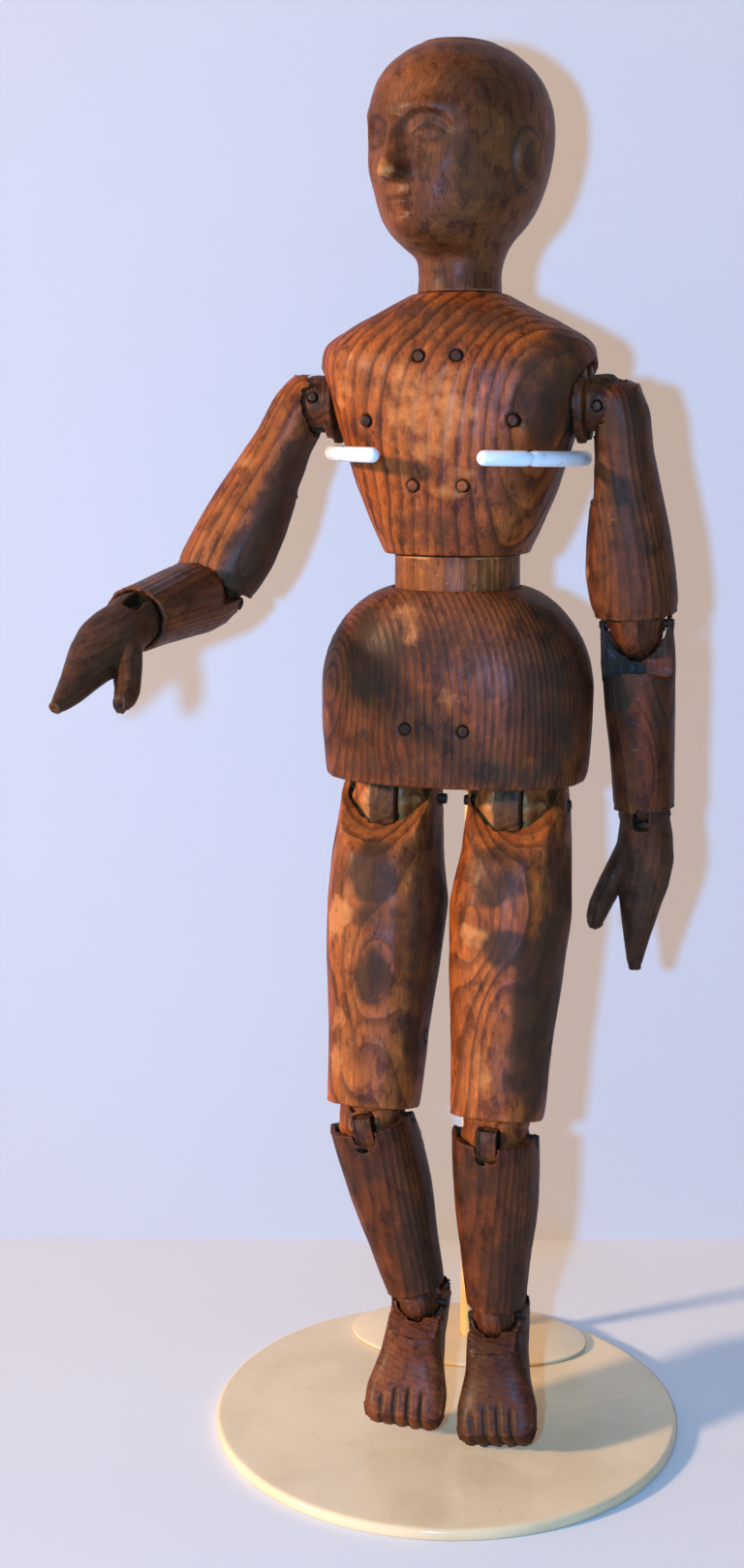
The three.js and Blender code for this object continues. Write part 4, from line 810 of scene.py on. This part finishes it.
def flowingCurve(at, xs, ys):
    # smooth line through uneven stations
    xs, ys = np.array(xs, float), np.array(ys, float)
    slope = np.gradient(ys, xs)
    i = np.clip(np.searchsorted(xs, at) - 1, 0, len(xs) - 2)
    gap = xs[i + 1] - xs[i]
    t = (at - xs[i]) / gap
    a, b = (1 + 2 * t) * (1 - t) ** 2, t * (1 - t) ** 2
    c, d = t * t * (3 - 2 * t), t * t * (t - 1)
    return a * ys[i] + b * gap * slope[i] + c * ys[i + 1] + d * gap * slope[i + 1]


# carved features in mm out of the plain head, and how deep in a cut each point lies
def faceCarving(h, angle):
    away = np.abs(np.radians(angle)) * 38
    h = h + 4.4 * smoothStep(18, 36, h)
    bridge = np.clip((72 - h) / 23, 0, 1)
    under = smoothStep(45.4, 48.6, h)
    nose = (1.2 * smoothStep(0, 0.1, bridge) + 7.6 * bridge ** 1.1) * under * bell(away, 0, 3 + 2.6 * bridge)
    nose = nose + 1.5 * bell(h, 51, 3.2) * bell(away, 0, 4.2)
    wings = 2 * bell(away, 5.4, 2.2) * bell(h, 50.2, 2.6)
    nostrils = 1.3 * bell(away, 3, 1.1) * bell(h, 47.2, 1.1)
    brow = 1.1 * bell(h, 75.4 - 0.0035 * (away - 15) ** 2, 3) * bell(away, 16, 14)
    dish = np.hypot((away - 14.5) / 13.5, np.where(h > 63, (h - 63) / 10.5, (h - 63) / 16))
    fade = 0.1 + 0.72 * smoothStep(57, 69, h)
    socket = -2.6 * smoothStep(1.06, fade, dish)
    u = (away - 16.4) / 7.4
    almond = np.hypot(u, (h - 64) / (3.3 * np.clip(1 - 0.5 * u * u, 0.3, 1)))
    ballOfEye = 0.95 * smoothStep(1.05, 0.35, almond)
    lidCut = 0.38 * bell(almond, 1.06, 0.14)
    lid = 0.3 * bell(almond, 1.4, 0.2) * smoothStep(63.5, 66, h)
    lips = 0.6 * bell(h, 42.1, 1.8) * bell(away, 0, 8) + 0.7 * bell(h, 37.9, 2) * bell(away, 0, 6)
    mouthCut = 0.9 * bell(h, 40.1 - 0.004 * away ** 2, 0.7) * smoothStep(8.4, 5.6, away)
    corner = 0.35 * bell(away, 8, 1.4) * bell(h, 40, 1.5)
    chin = 1.7 * bell(h, 26.5, 5) * bell(away, 0, 11) - 0.7 * bell(h, 33.6, 2) * bell(away, 0, 8)
    cheek = 0.8 * bell(h, 54, 8) * bell(away, 24, 9)
    lobe = np.hypot(np.radians(np.abs(angle) - 91) * 36 / 6.4 + 0.12 * (h - 56) / 10, (h - 56) / 10.2)
    ear = 1.7 * smoothStep(1.16, 0.92, lobe) + 0.8 * bell(lobe, 0.82, 0.14) - 1.5 * bell(lobe, 0.2, 0.4)
    cuts = nostrils + lidCut + mouthCut + corner
    relief = nose + wings + brow + socket + ballOfEye + lid + lips + chin + cheek + ear - cuts
    deep = 0.55 * cuts + 0.5 * bell(lobe, 0.3, 0.4) + 0.45 * bell(lobe, 1.2, 0.1)
    deep = deep + 0.3 * smoothStep(1.1, 0.8, dish)
    return relief, np.clip(deep, 0, 1)


def makeHead():
    look = headLook
    stations, *columns = zip(*look["profile"])
    heights = np.linspace(0, look["tall"], look["rows"])
    crown = look["tall"] - look["crownRise"] * np.linspace(1, 0, look["crownRows"]) ** 2
    heights = np.append(heights[:-look["crownSkip"]], crown)
    turns = np.arange(look["sides"]) / look["sides"] * 2 * math.pi - math.pi
    angle = turns - look["gather"] * np.sin(turns)
    rings, deeps, reliefs = [], [], []
    for bottom, radius in look["dowel"]:
        flat = np.full(len(angle), bottom)
        rings.append(np.stack([radius * np.sin(angle), -radius * np.cos(angle), flat], 1))
        deeps.append(np.zeros(len(angle)))
        reliefs.append(np.zeros(len(angle)))
    for h in heights:
        wide, front, back = (flowingCurve(h, stations, column) for column in columns)
        across, ahead = np.sin(angle), np.cos(angle)
        share = smoothStep(-0.25, 0.25, ahead)
        depth = share * front * look["faceDepth"] + (1 - share) * back * look["napeDepth"]
        flat = np.full(len(angle), h)
        jaw = smoothStep(*look["jaw"], h)
        relief, deep = faceCarving(flat, np.degrees(angle))
        relief = relief * jaw * smoothStep(look["tall"], look["tall"] - 8, h)
        grow = 1 + relief / np.maximum(np.hypot(wide * look["halfWidth"] * across, depth * ahead), 3)
        rings.append(np.stack([grow * wide * look["halfWidth"] * across, -grow * depth * ahead, flat], 1))
        deeps.append(deep * jaw)
        reliefs.append(relief)
    local = np.concatenate(rings)
    place = np.array(headFrame)
    thing = skinRings("head_carved", [ring @ place[:3, :3].T + place[:3, 3] for ring in rings])
    mesh = thing.data
    way = ringWay(local, look)
    knife = softNoise(local, 13, look["seed"] + 2) + 0.5 * softNoise(local, 6, look["seed"] + 3)
    calm = smoothStep(2, 8, local[:, 2])
    setPoints(mesh, meshPoints(mesh) + meshNormals(mesh) * (0.16 * (knife - 0.4) * calm)[:, None])
    relief = np.concatenate(reliefs)
    storeVector(mesh, "grainAt", local)
    storeValue(mesh, "ringWay", way)
    storeValue(mesh, "patina", np.clip(stainsAndShade(local, look) + 0.75 * np.concatenate(deeps), 0, 1))
    storeValue(mesh, "wear", np.clip(0.11 * (relief - 1.5), 0, 0.7) + 0.5 * bell(local[:, 2], 0.4, 0.8))
    shadeSmooth(mesh, 60)
    settle(thing, woodMaterial("headPine", look), "head")


makeHead()

print("stand")
enamelLook = {"paint": (0.80, 0.62, 0.37), "grime": (0.5, 0.36, 0.19), "marks": 0.5, "gloss": 0.2,
              "coat": 0.5}
# the post's deeper yellow than the base is its cream enamel with warm lamp light painted in
postLook = {"paint": (0.74, 0.46, 0.14), "grime": (0.34, 0.22, 0.1), "marks": 0.6, "gloss": 0.26, "coat": 0.4}
wireLook = {"paint": (0.72, 0.70, 0.64), "grime": (0.38, 0.32, 0.26), "marks": 0.6, "gloss": 0.3, "coat": 0.1,
            "metal": 0.7}
vinylLook = {"paint": (0.80, 0.82, 0.85), "grime": (0.50, 0.46, 0.42), "marks": 0.35, "gloss": 0.28,
             "coat": 0.25}
standSizes = {
    "baseRadius": 105, "baseThick": 5, "rim": 2.2, "baseSides": 160, "crease": 40,
    "under": [(1, 0), (40, 0), (80, 0), (103.8, 0), (104.6, 0.3), (105, 1)],
    "topRadii": (100, 90, 75, 60, 45, 30, 15, 1),
    "plateHalf": (58, 33), "plateAt": (0, 71), "plateBottom": 5.3, "plateThick": 1.5, "plateSides": 96,
    "plateEdge": [(-0.5, 0), (-0.12, 0.15), (0, 0.5)], "slack": 0.3,
    "postRadius": 4, "postBore": 2.9, "postTop": 392, "postSides": 40,
    "postRings": (65.3, 120, 200, 280, 340),
}


def makeStand():
    s = standSizes
    enamel = coatMaterial("creamEnamel", enamelLook)
    profile = list(s["under"])
    for bend in np.linspace(0, math.pi / 2, 9):
        profile.append((s["baseRadius"] - s["rim"] * (1 - math.cos(bend)),
                        s["baseThick"] - s["rim"] * (1 - math.sin(bend))))
    profile += [(r, s["baseThick"]) for r in s["topRadii"]]
    rings = [circleRing(r, r, (0, 0), z, s["baseSides"]) for r, z in profile]
    base = skinRings("stand_base_enamelled", rings)
    shadeSmooth(base.data, s["crease"])
    settle(base, enamel, "stand_base")
    wide, deep = s["plateHalf"]
    low, high = s["plateBottom"], s["plateBottom"] + s["plateThick"]
    hole = s["postRadius"] + s["slack"]
    outline = [(d, low + z) for d, z in s["plateEdge"]]
    outline += [(d, high - z) for d, z in reversed(s["plateEdge"])]
    ovals = [(hole, hole, low)] + [(wide + d, deep + d, z) for d, z in outline]
    ovals += [(0.5 * wide, 0.5 * deep, high), (hole, hole, high)]
    rings = [circleRing(x, y, s["plateAt"], z, s["plateSides"]) for x, y, z in ovals]
    plate = skinRings("post_foot_plate_enamelled", rings, closed=True)
    shadeSmooth(plate.data, s["crease"])
    settle(plate, enamel, "post_foot_plate")
    tube = [(s["postBore"], high), (s["postRadius"], low)]
    tube += [(s["postRadius"], z) for z in s["postRings"]]
    tube += [(s["postRadius"], s["postTop"] - 0.4), (s["postRadius"] - 0.4, s["postTop"])]
    tube.append((s["postBore"], s["postTop"] - 0.3))
    rings = [circleRing(r, r, s["plateAt"], z, s["postSides"]) for r, z in tube]
    post = skinRings("stand_post_enamelled", rings, closed=True)
    shadeSmooth(post.data, s["crease"])
    settle(post, coatMaterial("postEnamel", postLook), "stand_post")


makeStand()

print("hoop")
hoopSizes = {
    "radius": 54, "height": 435, "tilt": 1.3, "wire": 1.6, "stem": 2.5, "stemLength": 104, "stemY": 71,
    "sleeve": 3.2, "sleeveStart": 28, "capAngle": 21, "capRound": 3.3, "gap": 0.3, "seam": 0.86,
    "tips": {"left": 160, "right": -148}, "tuck": 2, "step": 2, "sides": 20,
}


def tubeTree():
    tree = bpy.data.node_groups.new("hoopTube", "GeometryNodeTree")
    tree.interface.new_socket(name="Path", in_out="INPUT", socket_type="NodeSocketGeometry")
    radius = tree.interface.new_socket(name="Radius", in_out="INPUT", socket_type="NodeSocketFloat")
    coat = tree.interface.new_socket(name="Coat", in_out="INPUT", socket_type="NodeSocketMaterial")
    tree.interface.new_socket(name="Tube", in_out="OUTPUT", socket_type="NodeSocketGeometry")
    given = tree.nodes.new("NodeGroupInput").outputs
    line = tree.nodes.new("GeometryNodeMeshToCurve")
    girth = addNode(tree, "GeometryNodeInputNamedAttribute", data_type="FLOAT")
    girth.inputs["Name"].default_value = "girth"
    section = tree.nodes.new("GeometryNodeCurvePrimitiveCircle")
    section.inputs["Resolution"].default_value = hoopSizes["sides"]
    sweep = tree.nodes.new("GeometryNodeCurveToMesh")
    sweep.inputs["Fill Caps"].default_value = True
    tree.links.new(given["Path"], line.inputs[0])
    tree.links.new(given["Radius"], section.inputs["Radius"])
    tree.links.new(section.outputs[0], sweep.inputs["Profile Curve"])
    tree.links.new(girth.outputs[0], sweep.inputs["Scale"])
    tree.links.new(line.outputs[0], sweep.inputs["Curve"])
    real = tree.nodes.new("GeometryNodeRealizeInstances")
    paint = tree.nodes.new("GeometryNodeSetMaterial")
    tree.links.new(sweep.outputs[0], real.inputs[0])
    tree.links.new(real.outputs[0], paint.inputs["Geometry"])
    tree.links.new(given["Coat"], paint.inputs["Material"])
    tree.links.new(paint.outputs[0], tree.nodes.new("NodeGroupOutput").inputs[0])
    return tree, radius.identifier, coat.identifier


def hoopPoint(angle):
    across = hoopSizes["radius"] * math.sin(math.radians(angle))
    ahead = figureY + hoopSizes["radius"] * math.cos(math.radians(angle))
    return (across, ahead, hoopSizes["height"] - across * math.tan(math.radians(hoopSizes["tilt"])))


def hoopArc(start, end):
    steps = max(4, int(abs(end - start) / hoopSizes["step"]))
    return [hoopPoint(start + (end - start) * i / steps) for i in range(steps + 1)]


hoopTree, radiusInput, coatInput = tubeTree()


def tubePiece(node, paths, radius, girths, material):
    points, edges, girth = [], [], []
    for path, sizes in zip(paths, girths):
        edges += [(len(points) + i, len(points) + i + 1) for i in range(len(path) - 1)]
        points += [tuple(c * mm for c in point) for point in path]
        girth += list(sizes)
    mesh = bpy.data.meshes.new(node + "_drawn")
    mesh.from_pydata(points, edges, [])
    storeValue(mesh, "girth", girth)
    thing = newObject(node + "_drawn", mesh)
    sweep = thing.modifiers.new("tube", "NODES")
    sweep.node_group = hoopTree
    sweep[radiusInput] = radius * mm
    sweep[coatInput] = material
    plainMesh(thing)
    work = bmesh.new()
    work.from_mesh(thing.data)
    bmesh.ops.remove_doubles(work, verts=work.verts, dist=1e-6)
    bmesh.ops.recalc_face_normals(work, faces=work.faces)
    work.to_mesh(thing.data)
    work.free()
    shadeSmooth(thing.data, 50)
    settle(thing, material, node)


def makeHoop():
    s = hoopSizes
    wire = coatMaterial("hoopWire", wireLook)
    vinyl = coatMaterial("whiteVinyl", vinylLook)
    ring = hoopArc(s["tips"]["right"] + s["tuck"], s["tips"]["left"] - s["tuck"])
    stem = [(0, s["stemY"], s["height"] - s["stemLength"] * t) for t in np.linspace(0, 1, 8)]
    tubePiece("hoop_wire", [ring, stem], s["wire"],
              [[1] * len(ring), [s["stem"] / s["wire"]] * len(stem)], wire)
    for side, sign in (("left", 1), ("right", -1)):
        tip = s["tips"][side]
        capStart = tip - sign * s["capAngle"]
        path = hoopArc(sign * s["sleeveStart"], capStart - sign * s["gap"])
        girth = [1] * (len(path) - 1) + [s["seam"]]
        tubePiece(side + "_hoop_sleeve", [path], s["sleeve"], [girth], vinyl)
        bends = [k * math.pi / 12 for k in range(1, 7)]
        path = hoopArc(capStart, tip)
        girth = [s["seam"]] + [1] * (len(path) - 1) + [max(math.cos(bend), 0.05) for bend in bends]
        path += [hoopPoint(tip + sign * s["capRound"] * math.sin(bend)) for bend in bends]
        tubePiece(side + "_hoop_cap", [path], s["sleeve"], [girth], vinyl)


makeHoop()

print("room and light")
roomLook = {"wall": (0.61, 0.625, 0.67), "floor": (0.74, 0.75, 0.76), "dull": 0.75, "cloudy": 0.965,
            "wallBehind": 0.198, "wallTurn": 11.3, "reach": 6, "height": 3}


def roomMaterial(name, colour, oneSided=False):
    material = bpy.data.materials.new(name)
    material.use_nodes = True
    tree = material.node_tree
    shader = tree.nodes["Principled BSDF"]
    place = tree.nodes.new("ShaderNodeTexCoord")
    cloud = fineNoise(tree, place.outputs["Object"], 2.4, 3)
    darker = tuple(roomLook["cloudy"] * c for c in colour)
    tree.links.new(blendColour(tree, cloud, (*colour, 1), (*darker, 1)), shader.inputs["Base Color"])
    shader.inputs["Roughness"].default_value = roomLook["dull"]
    if oneSided:
        # clear from behind, so that the figure's back can be seen
        side = tree.nodes.new("ShaderNodeNewGeometry")
        mix = tree.nodes.new("ShaderNodeMixShader")
        tree.links.new(side.outputs["Backfacing"], mix.inputs[0])
        tree.links.new(shader.outputs[0], mix.inputs[1])
        tree.links.new(tree.nodes.new("ShaderNodeBsdfTransparent").outputs[0], mix.inputs[2])
        tree.links.new(mix.outputs[0], tree.nodes["Material Output"].inputs[0])
    return material


def stagePlane(name, corners, material):
    mesh = bpy.data.meshes.new(name)
    mesh.from_pydata(corners, [], [(0, 1, 2, 3)])
    mesh.materials.append(material)
    thing = newObject(name, mesh)
    return thing


wallTurn = math.radians(roomLook["wallTurn"])
middle = Vector((-math.sin(wallTurn), math.cos(wallTurn), 0)) * roomLook["wallBehind"]
along = Vector((math.cos(wallTurn), math.sin(wallTurn), 0)) * roomLook["reach"]
near = Vector((math.sin(wallTurn), -math.cos(wallTurn), 0)) * roomLook["reach"]
up = Vector((0, 0, roomLook["height"]))
stagePlane("floor", [-along + near, along + near, along - near, -along - near],
           roomMaterial("paleFloor", roomLook["floor"]))
wall = stagePlane("backdrop", [middle - along, middle + along, middle + along + up, middle - along + up],
                  roomMaterial("paleWall", roomLook["wall"], True))
wall.visible_shadow = False

lightPlan = {
    "lamp": {"at": (-6.2, -4.0, 2.6), "aim": (0, 0, 0.34), "size": 0.64, "power": 874,
             "colour": (1, 0.7, 0.47)},
    "window": {"at": (0.048, -0.86, 0.45), "aim": (0, 0, 0.38), "size": 0.024, "power": 8.6,
               "colour": (0.09, 0.46, 1)},
}
for name, plan in lightPlan.items():
    lamp = bpy.data.lights.new(name, "AREA")
    lamp.size, lamp.energy, lamp.color = plan["size"], plan["power"], plan["colour"]
    thing = bpy.data.objects.new(name, lamp)
    thing.location = plan["at"]
    thing.rotation_euler = (Vector(plan["aim"]) - Vector(plan["at"])).to_track_quat("-Z", "Y").to_euler()
    bpy.context.scene.collection.objects.link(thing)

# weak light all round, with a pale distance beyond the floor
airLook = {"light": (1, 0.86, 0.74), "strength": 0.22, "distance": (0.66, 0.72, 0.85)}
world = bpy.data.worlds.new("room")
bpy.context.scene.world = world
world.use_nodes = True
air = world.node_tree
around = air.nodes["Background"]
around.inputs[0].default_value = (*airLook["light"], 1)
around.inputs[1].default_value = airLook["strength"]
distance = air.nodes.new("ShaderNodeBackground")
distance.inputs[0].default_value = (*airLook["distance"], 1)
mix = air.nodes.new("ShaderNodeMixShader")
air.links.new(air.nodes.new("ShaderNodeLightPath").outputs["Is Camera Ray"], mix.inputs[0])
air.links.new(around.outputs[0], mix.inputs[1])
air.links.new(distance.outputs[0], mix.inputs[2])
air.links.new(mix.outputs[0], air.nodes["World Output"].inputs[0])
# plain tones, so that the colours show as they are set
bpy.context.scene.view_settings.view_transform = "Standard"

cameraLook = {"at": (0.1306, -0.8248, 0.44416), "turn": (79.85, 0, 11.31), "lens": 44.9, "sensor": 36}
lens = bpy.data.cameras.new("view")
lens.lens, lens.sensor_width, lens.sensor_fit = cameraLook["lens"], cameraLook["sensor"], "AUTO"
viewer = bpy.data.objects.new("view", lens)
viewer.location = cameraLook["at"]
viewer.rotation_euler = [math.radians(angle) for angle in cameraLook["turn"]]
bpy.context.scene.collection.objects.link(viewer)
bpy.context.scene.camera = viewer

print("finish")
